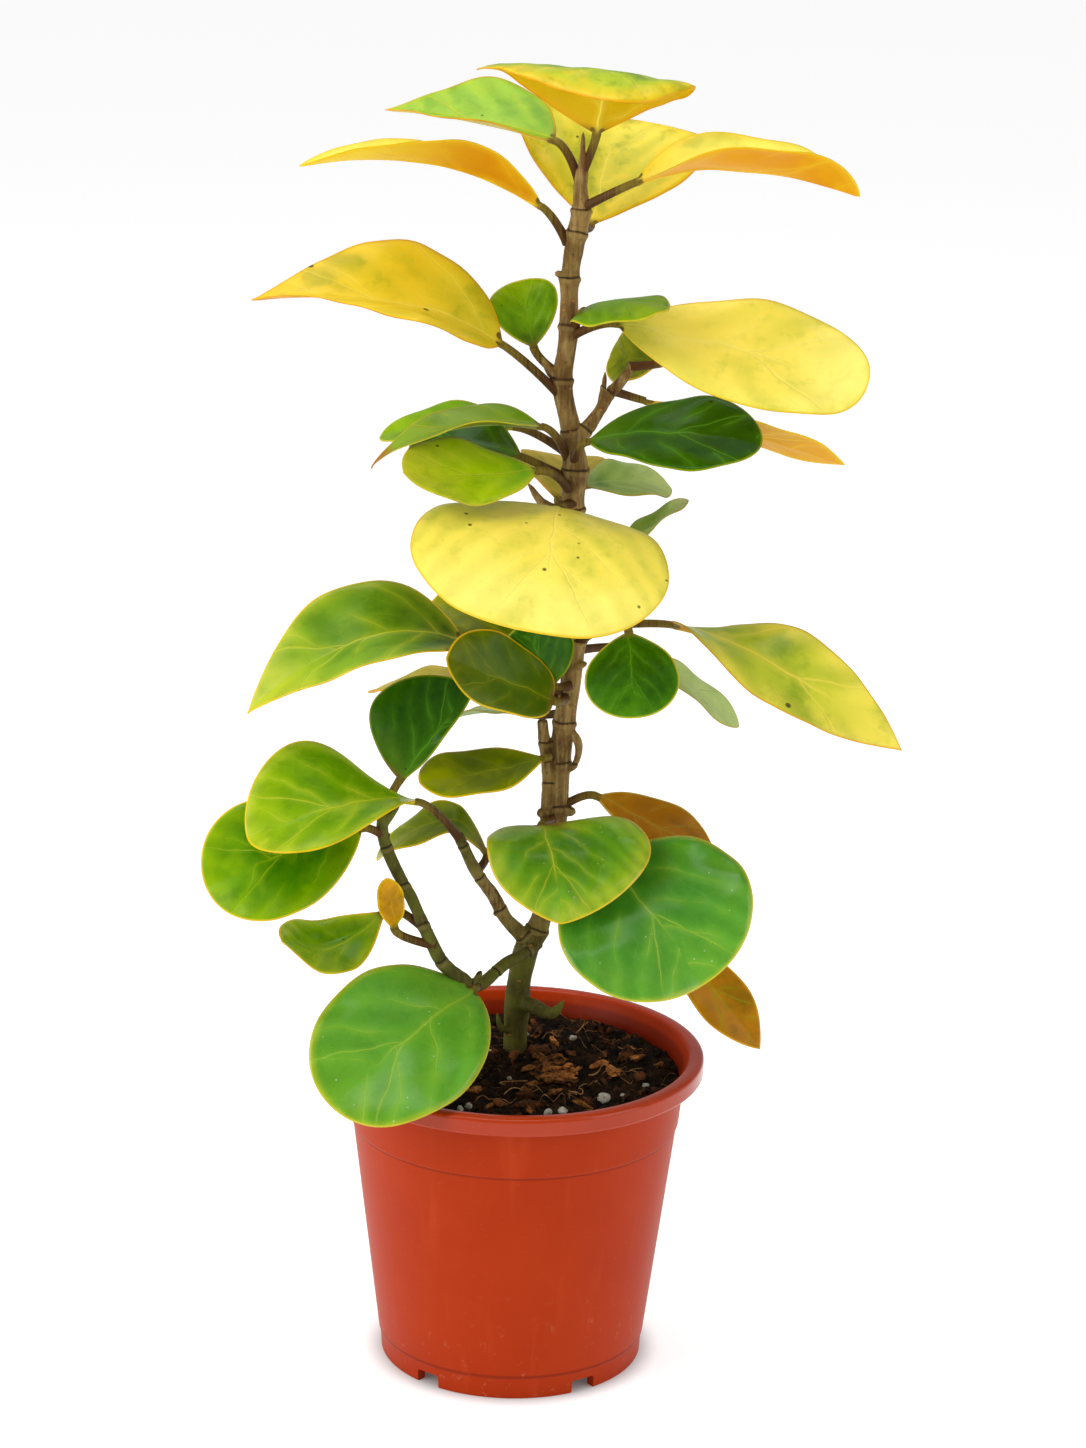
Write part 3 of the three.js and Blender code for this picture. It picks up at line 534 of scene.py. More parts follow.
@dataclass(frozen=True)
class LeafFinish:
    """Colours and gloss of one kind of leaf: foot, middle and tip above, foot and tip below."""

    name: str
    slot: str
    above: tuple[Colour, Colour, Colour]
    fringe: Colour
    vein: Colour
    below: tuple[Colour, Colour]
    under_vein: Colour
    margin: Colour
    stalk: tuple[Colour, Colour] = (STALK_FOOT, STALK_TOP)
    edge_reach: float = 4.0
    edge_share: float = 0.5
    tip_start: float = 0.55
    vein_share: float = 0.6
    vein_count: float = 4.2
    blotch: float = 0.4
    dots: float = 0.3
    # How many painted glints, white dots standing in for sparkles of light, the leaf gets.
    painted_glints: float = 0.0
    # How much the blade's middle, away from the margin and towards the foot, is darkened as painted shade.
    scorch: float = 0.0
    painted_heart_shade: float = 0.0
    roughness: float = 0.34
    gloss: float = 0.1
    coat: float = 0.06

    def material(self) -> Material:
        """Builds the leaf material.

        Returns:
            The finished material.
        """
        leaf = LeafRecipe(f"leaf {self.name}")
        along, clouds, fine, upper = leaf.along, leaf.clouds, leaf.fine, leaf.upper
        veins, main, pads = self._veins(leaf)
        colour = leaf.mix(upper, self._under(leaf, veins, main), self._upper(leaf, veins, main, pads))
        rim = leaf.edge.step(0.75, 0.15) * (0.5 + clouds * 0.7)
        colour = leaf.mix(rim.least(1.0), colour, self.margin)
        colour = leaf.mix((along + (clouds - 0.5) * 0.1).step(0.84, 0.93) * self.scorch, colour, RUST)
        colour = self._spots(leaf, colour)
        foot_gap = ((along - 0.02) ** 2 + (abs(leaf.across) - 0.028) ** 2) ** 0.5
        colour = leaf.mix(foot_gap.step(0.02, 0.012) * 0.85, colour, JOINT)
        sideways = leaf.split(leaf.object_place())[0] * 900.0
        streaks = leaf.noise(leaf.joined(along * 0.6, sideways, leaf.seed), 2.0)
        wood = leaf.mix((along + (streaks - 0.5) * 1.4).step(-0.8, 0.0), *self.stalk)
        colour = leaf.mix(leaf.stalk, colour, wood)
        relief = fine * 0.2 - (veins * 0.35 - pads * 0.2) * (upper * 2.0 - 1.0) + clouds * 0.8
        roughness = self.roughness + (fine - 0.5) * 0.16 + (1 - upper) * 0.14 + leaf.stalk * 0.2
        return leaf.finish(colour, roughness, relief, LEAF_RELIEF, Coat_Weight=self.coat,
                           Coat_Roughness=0.2, Specular_IOR_Level=self.gloss)

    def _veins(self, leaf: LeafRecipe) -> tuple[Value, Value, Value]:
        """Draws the midrib, its forks, the side veins and the net between them.

        Args:
            leaf: Recipe that gets the nodes.

        Returns:
            All veins, the midrib alone, and the pads of leaf between the veins.
        """
        along, across, seed = leaf.along, leaf.across, leaf.seed
        warp = leaf.noise(leaf.place, 4.5, 1.0)
        second_warp = leaf.noise(leaf.joined(across, along, seed + 3.7), 5.5, 1.0)
        warped_along = along + (warp - 0.5) * 0.13
        warped_across = across + (second_warp - 0.5) * 0.06
        out = abs(warped_across)
        midrib = (out.step(0.009, 0.003) * 0.65 + out.step(0.045, 0.0) * 0.35) * along.step(0.78, 0.5)
        start = (along - 0.52).largest(0.0)
        fork_gap = abs(out - start * 0.55)
        fork = (fork_gap.step(0.008, 0.002) + fork_gap.step(0.03, 0.0) * 0.3) * along.step(0.5, 0.56)
        fork = fork * along.step(1.0, 0.82)
        path = warped_along - out * 0.75 - out * out * 0.9 + warped_across.sign() * 0.045
        ladder = abs((path * self.vein_count + seed).fraction() - 0.5) / self.vein_count
        ribs = ladder.step(0.009, 0.002) * 0.42 + ladder.step(0.055, 0.0) * 0.4
        shown = leaf.noise(leaf.joined(across, along, seed + 8.1), 5.0, 1.0).step(0.34, 0.6)
        ribs = ribs * shown * along.step(0.04, 0.12) * out.step(0.5, 0.16)
        net = leaf.cells(leaf.joined(path * 1.15, warped_across * 1.3, seed), 8.5, "DISTANCE_TO_EDGE")
        mesh = Value(leaf, net.outputs["Distance"]).step(0.06, 0.0) * 0.13 * shown
        strong = midrib.largest(fork * 0.8).largest(ribs)
        pads = ladder.step(0.01, 0.11) * out.step(0.02, 0.1)
        return strong.largest(mesh), midrib, pads

    def _upper(self, leaf: LeafRecipe, veins: Value, main: Value, pads: Value) -> Socket:
        """Colours the upper face, with its own mottling and with painted shade on the pads between the
        veins and towards the blade's middle.

        Args:
            leaf: Recipe that gets the nodes.
            veins: All veins.
            main: The midrib.
            pads: Leaf between the veins, which is darkened as painted shade.

        Returns:
            The colour.
        """
        clouds, fine, reach = leaf.clouds, leaf.fine, self.edge_reach
        lifted = leaf.along + (clouds - 0.5) * 0.45
        foot, middle, tip = self.above
        colour = leaf.mix(lifted.step(0.02, 0.4), foot, middle)
        colour = leaf.mix(lifted.step(self.tip_start, 1.05), colour, tip)
        fringe = (leaf.edge + (clouds - 0.5) * reach * 1.4).step(reach, 0.2) * self.edge_share
        colour = leaf.mix(fringe, colour, self.fringe)
        patches = (clouds * 0.8 + fine * 0.2).step(0.52, 0.66) * self.blotch * 0.8
        colour = leaf.mix(patches, colour, self.fringe)
        # Dark mottling and fine flecks are the leaf's own colour; the darkening of the pads between the
        # veins and of the blade's middle is painted shade.
        mottle_and_shade = (clouds * 0.75 + fine * 0.25).step(0.49, 0.36) * self.blotch * 0.8
        mottle_and_shade = mottle_and_shade + fine.step(0.5, 0.36) * 0.12 + pads * self.vein_share * 0.6
        mottle_and_shade = mottle_and_shade + leaf.edge.step(5.0, 17.0) * lifted.step(0.95, 0.3) * self.painted_heart_shade
        colour = leaf.mix(mottle_and_shade.least(1.0), colour, leaf.mix(1.0, colour, MOTTLE_AND_SHADE_TINT, "MULTIPLY"))
        return leaf.mix((veins * self.vein_share + main * 0.15).least(1.0), colour, self.vein)

    def _under(self, leaf: LeafRecipe, veins: Value, main: Value) -> Socket:
        """Colours the lower face.

        Args:
            leaf: Recipe that gets the nodes.
            veins: All veins.
            main: The midrib.

        Returns:
            The colour.
        """
        lifted = leaf.along + (leaf.clouds - 0.5) * 0.5
        colour = leaf.mix(lifted.step(0.2, 0.95), *self.below)
        colour = leaf.mix(leaf.clouds.step(0.5, 0.35) * 0.2, colour, self.fringe)
        colour = leaf.mix(leaf.edge.step(3.0, 0.3) * 0.35, colour, self.margin)
        return leaf.mix((veins * 0.45 + main * 0.5).least(1.0), colour, self.under_vein)

    def _spots(self, leaf: LeafRecipe, colour: Socket) -> Socket:
        """Adds the small dark glands and the painted glints: small white dots that stand in for sparkles of
        light.

        Args:
            leaf: Recipe that gets the nodes.
            colour: Colour so far.

        Returns:
            The colour with its spots.
        """
        rare = 1 - self.dots * 0.3
        gland = leaf.dots(leaf.place, 9.0, (0.13, 0.08), (rare, rare + 0.01)) * leaf.along.step(0.02, 0.1)
        colour = leaf.mix(gland * 0.85, colour, GLAND)
        # Painted glints: white dots that stand in for tiny highlights on glossy leaves.
        if self.painted_glints > 0:
            rare = 1 - self.painted_glints * 0.16
            glint = leaf.dots(leaf.place, 26.0, (0.12, 0.05), (rare, rare + 0.01), 1)
            colour = leaf.mix(glint * 0.7, colour, PAINTED_GLINT)
        return colour


LEMON = srgb(252, 232, 90)
CREAM = srgb(254, 238, 118)
BUTTER = srgb(242, 222, 78)
STRAW = srgb(208, 194, 40)
PRIMROSE = srgb(244, 226, 92)
GOLDEN = srgb(238, 196, 26)
SUN = srgb(236, 206, 44)
AMBER = srgb(228, 162, 8)
DEEP_AMBER = srgb(212, 138, 0)
OCHRE = srgb(176, 124, 0)
MUSTARD = srgb(206, 170, 2)
CHARTREUSE = srgb(192, 202, 44)
PALE_GREEN = srgb(152, 192, 50)
FRESH = srgb(132, 176, 30)
LIME = srgb(146, 180, 0)
ACID = srgb(170, 202, 6)
APPLE = srgb(112, 160, 0)
GRASS = srgb(92, 156, 22)
LAWN = srgb(104, 162, 30)
MEADOW = srgb(112, 172, 24)
JADE = srgb(100, 168, 44)
SPRING = srgb(76, 134, 0)
FOREST = srgb(84, 122, 20)
PINE = srgb(50, 98, 0)
LEAF_GREEN = srgb(76, 148, 34)
FERN = srgb(62, 112, 0)
BOTTLE = srgb(38, 84, 0)
OLIVE = srgb(72, 100, 0)
MOSS = srgb(100, 116, 0)
OLIVE_GOLD = srgb(152, 160, 0)
BRONZE = srgb(156, 98, 0)
RUST = srgb(178, 116, 0)
TAN = srgb(176, 160, 54)
SAND = srgb(204, 178, 76)
SAGE = srgb(136, 170, 70)
PALE_SAGE = srgb(174, 196, 118)

FINISHES = {
    finish.name: finish
    for finish in (
        LeafFinish("crown", "leaf_gold", (GRASS, APPLE, CHARTREUSE), GOLDEN, BUTTER, (MUSTARD, MUSTARD),
                   BUTTER, AMBER, edge_reach=7.0, edge_share=0.75, tip_start=0.3, blotch=0.8,
                   vein_share=0.3),
        LeafFinish("fresh", "leaf_pale", (FRESH, PALE_GREEN, PALE_GREEN), CHARTREUSE, CHARTREUSE,
                   (STRAW, STRAW), BUTTER, AMBER, edge_reach=3.0, dots=0.5, blotch=0.35),
        LeafFinish("pale yellow", "leaf_pale", (STRAW, STRAW, BUTTER), GOLDEN, LEMON, (BUTTER, GOLDEN),
                   LEMON, AMBER, edge_reach=8.0, dots=0.3, blotch=0.7, vein_share=0.4),
        LeafFinish("orange", "leaf_orange", (BUTTER, LEMON, LEMON), GOLDEN, LEMON, (DEEP_AMBER, SUN),
                   GOLDEN, GOLDEN, dots=0.2, vein_share=0.4, roughness=0.4),
        LeafFinish("deep orange", "leaf_orange", (BUTTER, LEMON, LEMON), GOLDEN, LEMON, (AMBER, DEEP_AMBER),
                   GOLDEN, GOLDEN, dots=0.2, vein_share=0.4, roughness=0.4),
        LeafFinish("amber", "leaf_yellow", (STRAW, SUN, GOLDEN), GOLDEN, LEMON, (AMBER, DEEP_AMBER), GOLDEN,
                   AMBER, edge_reach=5.0, dots=0.5, vein_share=0.35, tip_start=0.5, blotch=0.5),
        LeafFinish("yellow", "leaf_yellow", (PRIMROSE, LEMON, CREAM), LEMON, CREAM, (GOLDEN, GOLDEN), CREAM,
                   GOLDEN, dots=0.9, vein_share=0.35, blotch=0.22),
        LeafFinish("golden", "leaf_gold", (OCHRE, OCHRE, AMBER), AMBER, GOLDEN, (OCHRE, OCHRE), GOLDEN,
                   GOLDEN, vein_share=0.3, dots=0.0),
        LeafFinish("glossy green", "leaf_green", (GRASS, LAWN, MEADOW), CHARTREUSE, CHARTREUSE,
                   (SAGE, SAGE), PALE_SAGE, GOLDEN, edge_reach=9.0, edge_share=0.55, painted_glints=0.8,
                   blotch=0.15, roughness=0.24, gloss=0.2, coat=0.3, painted_heart_shade=0.85, dots=0.0),
        LeafFinish("green", "leaf_green", (JADE, JADE, LAWN), CHARTREUSE, PALE_GREEN, (SAGE, SAGE),
                   PALE_SAGE, STRAW, edge_reach=2.5, painted_glints=0.8, blotch=0.1, roughness=0.28, gloss=0.2,
                   coat=0.15, painted_heart_shade=0.2, dots=0.0),
        LeafFinish("blue green", "leaf_green", (LEAF_GREEN, LEAF_GREEN, JADE), CHARTREUSE, PALE_GREEN,
                   (SAGE, SAGE), PALE_SAGE, STRAW, edge_reach=2.0, painted_glints=1.0, blotch=0.05, roughness=0.26,
                   gloss=0.25, coat=0.25, painted_heart_shade=0.1, dots=0.0),
        LeafFinish("yellowing", "leaf_green", (BOTTLE, FRESH, CHARTREUSE), CHARTREUSE, CHARTREUSE,
                   (SAGE, TAN), PALE_SAGE, GOLDEN, tip_start=0.45, dots=0.9, blotch=0.4, gloss=0.2,
                   painted_heart_shade=0.3),
        LeafFinish("small green", "leaf_green", (OLIVE, APPLE, LIME), APPLE, FRESH, (MOSS, SAGE), PALE_SAGE,
                   STRAW, edge_reach=2.0, vein_share=0.4, painted_heart_shade=0.2),
        LeafFinish("curled green", "leaf_green", (APPLE, FRESH, PALE_GREEN), FRESH, CHARTREUSE, (MOSS, TAN),
                   PALE_SAGE, STRAW, edge_reach=2.0, vein_share=0.4, scorch=0.9, gloss=0.2),
        LeafFinish("bright green", "leaf_lime", (MEADOW, ACID, CHARTREUSE), CHARTREUSE, CHARTREUSE,
                   (MOSS, SAGE), PALE_SAGE, STRAW, edge_reach=3.0, vein_share=0.4, tip_start=0.4),
        LeafFinish("lime", "leaf_lime", (APPLE, APPLE, LIME), CHARTREUSE, CHARTREUSE, (OLIVE_GOLD, LIME),
                   CHARTREUSE, GOLDEN, edge_reach=5.0, tip_start=0.4, blotch=0.35, dots=0.4, roughness=0.26,
                   painted_heart_shade=0.3),
        LeafFinish("deep lime", "leaf_lime", (BOTTLE, SPRING, APPLE), LIME, LIME, (OLIVE_GOLD, LIME),
                   CHARTREUSE, GOLDEN, edge_reach=9.0, edge_share=0.7, tip_start=0.4, blotch=0.5,
                   roughness=0.28, painted_heart_shade=1.0),
        LeafFinish("olive", "leaf_olive", (OLIVE, OLIVE, MOSS), MOSS, OLIVE_GOLD, (MOSS, MOSS), TAN, GOLDEN,
                   edge_reach=3.0, vein_share=0.3, blotch=0.5),
        LeafFinish("olive gold", "leaf_olive", (OLIVE, MOSS, OLIVE_GOLD), OLIVE_GOLD, OLIVE_GOLD,
                   (MOSS, MOSS), TAN, GOLDEN, edge_reach=5.0, vein_share=0.4, blotch=0.5, tip_start=0.45,
                   painted_heart_shade=0.3),
        LeafFinish("dark", "leaf_dark", (FOREST, PINE, BOTTLE), FERN, GRASS, (FERN, FERN), SAGE, OLIVE_GOLD,
                   edge_reach=2.5, vein_share=0.6, blotch=0.5, roughness=0.24, painted_heart_shade=0.3),
        LeafFinish("round dark", "leaf_dark", (PINE, PINE, SPRING), SPRING, GRASS, (FERN, FERN), SAGE,
                   STRAW, edge_reach=3.5, vein_share=0.5, blotch=0.4, roughness=0.28, painted_heart_shade=0.2),
        LeafFinish("bronze", "leaf_bronze", (RUST, BRONZE, BRONZE), RUST, TAN, (RUST, BRONZE), TAN, SAND,
                   vein_share=0.3, dots=0.1, roughness=0.42),
        LeafFinish("olive bronze", "leaf_bronze", (MOSS, RUST, RUST), RUST, OLIVE_GOLD, (MOSS, RUST), TAN,
                   AMBER, vein_share=0.4, dots=0.1, blotch=0.6, tip_start=0.4, roughness=0.42),
        LeafFinish("far gold", "leaf_bronze", (OCHRE, AMBER, AMBER), GOLDEN, GOLDEN, (OCHRE, AMBER), GOLDEN,
                   GOLDEN, vein_share=0.3, dots=0.1, roughness=0.42),
        LeafFinish("tan", "leaf_tan", (TAN, TAN, SAND), SAND, SAND, (TAN, SAND), SAND, AMBER,
                   vein_share=0.3, roughness=0.45),
        LeafFinish("sage", "leaf_grey", (PALE_SAGE, PALE_SAGE, PALE_SAGE), PALE_SAGE, PALE_SAGE,
                   (SAGE, SAGE), PALE_SAGE, TAN, vein_share=0.4, blotch=0.2, roughness=0.4, gloss=0.3),
        LeafFinish("folded sage", "leaf_dark", (GRASS, SAGE, PALE_SAGE), PALE_SAGE, PALE_SAGE, (SAGE, SAGE),
                   PALE_SAGE, TAN, vein_share=0.4, roughness=0.4, gloss=0.3),
        LeafFinish("deep sage", "leaf_grey", (FERN, SAGE, PALE_SAGE), PALE_SAGE, PALE_SAGE, (SAGE, SAGE),
                   PALE_SAGE, TAN, tip_start=0.4, vein_share=0.4, roughness=0.4, gloss=0.3),
        LeafFinish("half yellow", "leaf_pale", (FRESH, CHARTREUSE, BUTTER), BUTTER, BUTTER, (RUST, STRAW),
                   GOLDEN, AMBER, edge_reach=9.0, edge_share=0.7, tip_start=0.4, dots=0.4, blotch=0.6,
                   gloss=0.2),
    )
}
FINISHES["gold bronze"] = replace(FINISHES["olive gold"], name="gold bronze", slot="leaf_bronze")


@dataclass
class Leaf:
    """One leaf: a woody stalk that broadens into a thin arched blade."""

    name: str
    root: Point
    base: Point
    tip: Point
    face: Point
    width: float
    finish_name: str
    widest: float = 0.6
    foot: float = 0.9
    end: float = 0.55
    arch: float = 4.0
    crest: float = 0.45
    droop: float = 1.0
    trough: tuple[float, float] = (10.0, 10.0)
    turn: tuple[float, float] = (0.0, 0.0)
    skew: float = 0.0
    wave: float = 0.9
    waves: float = 1.7
    bump: float = 0.5
    crease: Point = (0.0, 0.0, 1.0)
    lip: float = 0.06
    thickness: float = 0.62
    stalk_radius: float = 1.3
    stalk_sink: float = 1.2
    stalk_bend: float = 0.3
    tip_half_width: float = 0.25
    quilt_size: float = 17.0
    quilt_waves: int = 9
    usual_width: float = 45.0
    edge_thinness: float = 0.35
    edge_rounding: float = 1.2
    ridge_left: float = 0.15
    woody_reach: float = 3.0
    blade_steps: int = 52
    stalk_steps: int = 12
    half_ring: int = 31
    edge_bunching: float = 1.25

    def prepare(self) -> None:
        """Works out the directions that the blade is laid along."""
        self.base_at = np.array(self.base, float)
        self.root_at = np.array(self.root, float)
        span = np.array(self.tip, float) - self.base_at
        self.length = float(np.linalg.norm(span))
        self.along = span / self.length
        face = np.array(self.face, float)
        face = face - self.along * (face @ self.along)
        self.up = unit(face)
        self.across = np.cross(self.along, self.up)
        self.seed = sum(ord(letter) * (index + 1) for index, letter in enumerate(self.name)) % 97

    def rise(self, u: np.ndarray) -> np.ndarray:
        """Gives the arch from 0 at the foot to 1 at the crest and back to 0.

        Args:
            u: Places from foot to tip, 0 to 1.

        Returns:
            Shares of the full arch.
        """
        before = 1 - (1 - u / self.crest) ** 2
        after = np.clip(1 - ((u - self.crest) / (1 - self.crest)) ** 2, 0, 1) ** self.droop
        return np.where(u < self.crest, before, after)

    def outline(self, u: np.ndarray) -> np.ndarray:
        """Gives the share of the full half width along the midrib.

        Args:
            u: Places from foot to tip, 0 to 1.

        Returns:
            Shares of the half width.
        """
        before = np.clip(1 - (1 - u / self.widest) ** 2, 0, 1) ** self.foot
        after = np.clip(1 - ((u - self.widest) / (1 - self.widest)) ** 2, 0, 1) ** self.end
        return np.where(u < self.widest, before, after)

    def midrib(self, u: np.ndarray) -> np.ndarray:
        """Gives places along the midrib, one row for each u."""
        lift = self.arch * self.rise(u)
        return self.base_at + np.outer(u * self.length, self.along) + np.outer(lift, self.up)

    def frames(self, u: np.ndarray) -> tuple[np.ndarray, np.ndarray, np.ndarray]:
        """Gives the directions along, across and up at places along the midrib.

        Args:
            u: Places from foot to tip, 0 to 1.

        Returns:
            Three arrays with one row for each place.
        """
        ahead = unit(self.midrib(np.clip(u + 0.01, 0, 1)) - self.midrib(np.clip(u - 0.01, 0, 1)))
        side = unit(self.across - ahead * (ahead @ self.across)[:, None])
        up = np.cross(side, ahead)
        turn = np.radians(self.turn[0]) * (1 - u) ** 2.5 + np.radians(self.turn[1]) * u**2.5
        cosine, sine = np.cos(turn)[:, None], np.sin(turn)[:, None]
        return ahead, side * cosine - up * sine, up * cosine + side * sine

    def blade(self) -> tuple[np.ndarray, np.ndarray, np.ndarray, np.ndarray]:
        """Lays out the middle surface of the blade.

        Returns:
            Places, normals, place along and distance across in millimetres, on a grid.
        """
        steps = np.arange(1, self.blade_steps + 1) / self.blade_steps
        u = (1 - np.cos(np.pi * steps)) / 2
        q = np.linspace(-1, 1, self.half_ring)
        v = np.sign(q) * np.abs(q) ** self.edge_bunching
        ahead, side, up = self.frames(u)
        slimmest = self.stalk_radius + (self.tip_half_width - self.stalk_radius) * smooth_steps(u, 0.0, 0.6)
        half = self.width / 2 * self.outline(u)
        right = (v > 0)[None, :]
        skewed = half[:, None] * np.where(right, 1 + self.skew, 1 - self.skew)
        width = np.maximum(slimmest[:, None], skewed)
        trough = np.radians(np.where(right, self.trough[1], self.trough[0]))
        share = np.abs(v)[None, :]
        lateral = v[None, :] * width * np.cos(trough)
        lift = width * (share**1.3 * np.sin(trough) - self.lip * share**4)
        phase = self.seed + np.where(right, 0.0, 2.2)
        swell = np.sin(2 * np.pi * self.waves * u[:, None] + phase) * self.outline(u)[:, None]
        crease_at, crease_depth, crease_width = self.crease
        fold = hump(v[None, :] - crease_at, crease_width) * self.outline(u)[:, None]
        distance = np.repeat((u * self.length)[:, None], len(v), axis=1)
        spread = np.stack([distance, lateral, lateral * 0], axis=-1).reshape(-1, 3)
        quilt = ripple(spread, self.quilt_size, self.seed, self.quilt_waves).reshape(lateral.shape)
        quilt *= self.bump * self.width / self.usual_width * self.outline(u)[:, None] * (0.3 + 0.7 * share)
        lift = lift + self.wave * share**2 * swell - crease_depth * fold + quilt
        places = self.midrib(u)[:, None] + side[:, None] * lateral[..., None]
        places = places + up[:, None] * lift[..., None]
        normals = unit(np.cross(np.gradient(places, axis=1), ahead[:, None]))
        return places, normals, u, v[None, :] * width

    def stalk(self) -> tuple[np.ndarray, np.ndarray]:
        """Lays out the stalk's axis and directions, from inside the bark to the blade.

        Returns:
            Places, one row each, and the direction along at each.
        """
        ahead = self.frames(np.array([0.0]))[0][0]
        reach = float(np.linalg.norm(self.base_at - self.root_at))
        bend = self.base_at - ahead * reach * self.stalk_bend
        q = np.linspace(0, 1, self.stalk_steps)[:, None]
        places = (1 - q) ** 2 * self.root_at + 2 * q * (1 - q) * bend + q**2 * self.base_at
        ways = unit(2 * (1 - q) * (bend - self.root_at) + 2 * q * (self.base_at - bend))
        start = self.root_at - ways[0] * self.stalk_sink
        return np.vstack([start, places]), np.vstack([ways[0], ways])

    def stalk_rings(self) -> list[np.ndarray]:
        """Makes the stalk's round rings in the same point order as the blade's.

        Returns:
            The points of each ring.
        """
        places, ways = self.stalk()
        ahead, side, up = (Vector(part[0]) for part in self.frames(np.array([0.0])))
        angles = np.pi * (1 - (np.arange(self.half_ring) + 0.5) / self.half_ring)
        rings = []
        for number, (place, way) in enumerate(zip(places, ways)):
            swing = ahead.rotation_difference(Vector(way)).to_matrix()
            share = number / (len(places) - 1)
            radius = self.stalk_radius * (1 + 0.28 * (1 - share) ** 6 + 0.1 * share**8)
            flat = 1 - 0.22 * share**4
            sideways = np.outer(np.cos(angles), np.array(swing @ side))
            upwards = flat * np.outer(np.sin(angles), np.array(swing @ up))
            rings.append(place + radius * np.vstack([sideways + upwards, (sideways - upwards)[::-1]]))
        return rings

    def build(self) -> Piece:
        """Makes the leaf's mesh with its stored places for the veins.

        Returns:
            The finished object.
        """
        self.prepare()
        places, normals, u, lateral = self.blade()
        edge = self.edge_distance(u, lateral)
        rounding = smooth_steps(edge, 0.0, self.edge_rounding)
        thick = self.thickness / 2 * (self.edge_thinness + (1 - self.edge_thinness) * rounding)
        fade = smooth_steps(u, 0.0, 0.9)[:, None]
        ridge_width = self.stalk_radius * (1 - 0.6 * fade)
        ridge_height = self.stalk_radius * 0.75 * (1 - fade) + self.ridge_left * fade
        ridge = ridge_height * hump(lateral, ridge_width)
        upper = places + normals * (thick + ridge * 0.25 * (1 - fade))[..., None]
        lower = places - normals * (thick + ridge)[..., None]
        rings = self.stalk_rings()
        stalk_count = len(rings)
        for k in range(len(u)):
            rings.append(np.vstack([upper[k], lower[k][::-1]]))
        piece = new_object(f"leaf_{self.name}_blade", np.vstack(rings), self.faces(len(rings)))
        self.store_places(piece, stalk_count, u, lateral, edge)
        return piece

    def edge_distance(self, u: np.ndarray, lateral: np.ndarray) -> np.ndarray:
        """Measures how far each place of the flat blade lies from the margin.

        Args:
            u: Places along.
            lateral: Distances across in millimetres.

        Returns:
            Distances in millimetres, on the grid.
        """
        x = np.repeat((u * self.length)[:, None], lateral.shape[1], axis=1)
        border = np.vstack([
            np.column_stack([x[:, 0], lateral[:, 0]]),
            np.column_stack([x[:, -1], lateral[:, -1]])[::-1],
        ])
        flat = np.stack([x, lateral], axis=-1).reshape(-1, 2)
        starts, ends = border[:-1], border[1:]
        spans = ends - starts
        squared = np.maximum((spans**2).sum(1), 1e-9)
        gap = flat[:, None, :] - starts[None]
        share = np.clip((gap * spans[None]).sum(2) / squared[None], 0, 1)
        distance = np.linalg.norm(gap - share[..., None] * spans[None], axis=2).min(1)
        return distance.reshape(lateral.shape)

    def faces(self, count: int) -> Faces:
        """Joins the rings and closes both ends.

        Args:
            count: How many rings there are.

        Returns:
            Corners of each face.
        """
        size = 2 * self.half_ring
        faces = tube_faces(count, size)
        last = (count - 1) * size
        for i in range(self.half_ring - 1):
            under = size - 1 - i
            faces.append((i, under, under - 1, i + 1))
            faces.append((last + i, last + i + 1, last + under - 1, last + under))
        return faces

    def store_places(
        self, piece: Piece, stalk_count: int, u: np.ndarray, lateral: np.ndarray, edge: np.ndarray
    ) -> None:
        """Stores where each vertex lies on the leaf, for the material.

        Args:
            piece: The leaf's object.
            stalk_count: How many rings belong to the stalk.
            u: Places along the blade.
            lateral: Distances across in millimetres.
            edge: Distances from the margin in millimetres.
        """
        size = 2 * self.half_ring
        stalk_points = stalk_count * size
        both = np.concatenate([lateral, lateral[:, ::-1]], axis=1) / self.length
        edges = np.concatenate([edge, edge[:, ::-1]], axis=1)
        half_one = np.concatenate([np.ones(self.half_ring), np.zeros(self.half_ring)])
        on_stalk = np.repeat(np.linspace(-1, 0, stalk_count), size)
        store(piece, "leaf_along", np.concatenate([on_stalk, np.repeat(u, size)]))
        store(piece, "leaf_across", np.concatenate([np.zeros(stalk_points), both.ravel()]))
        store(piece, "leaf_edge", np.concatenate([np.full(stalk_points, FAR_INSIDE), edges.ravel()]))
        store(piece, "leaf_upper", np.tile(half_one, stalk_count + len(u)))
        woody = np.repeat(1 - smooth_steps(u * self.length, 0.0, self.woody_reach), size)
        store(piece, "leaf_stalk", np.concatenate([np.ones(stalk_points), woody]))
        store(piece, "leaf_seed", np.full(stalk_points + len(u) * size, self.seed * SEED_STEP))


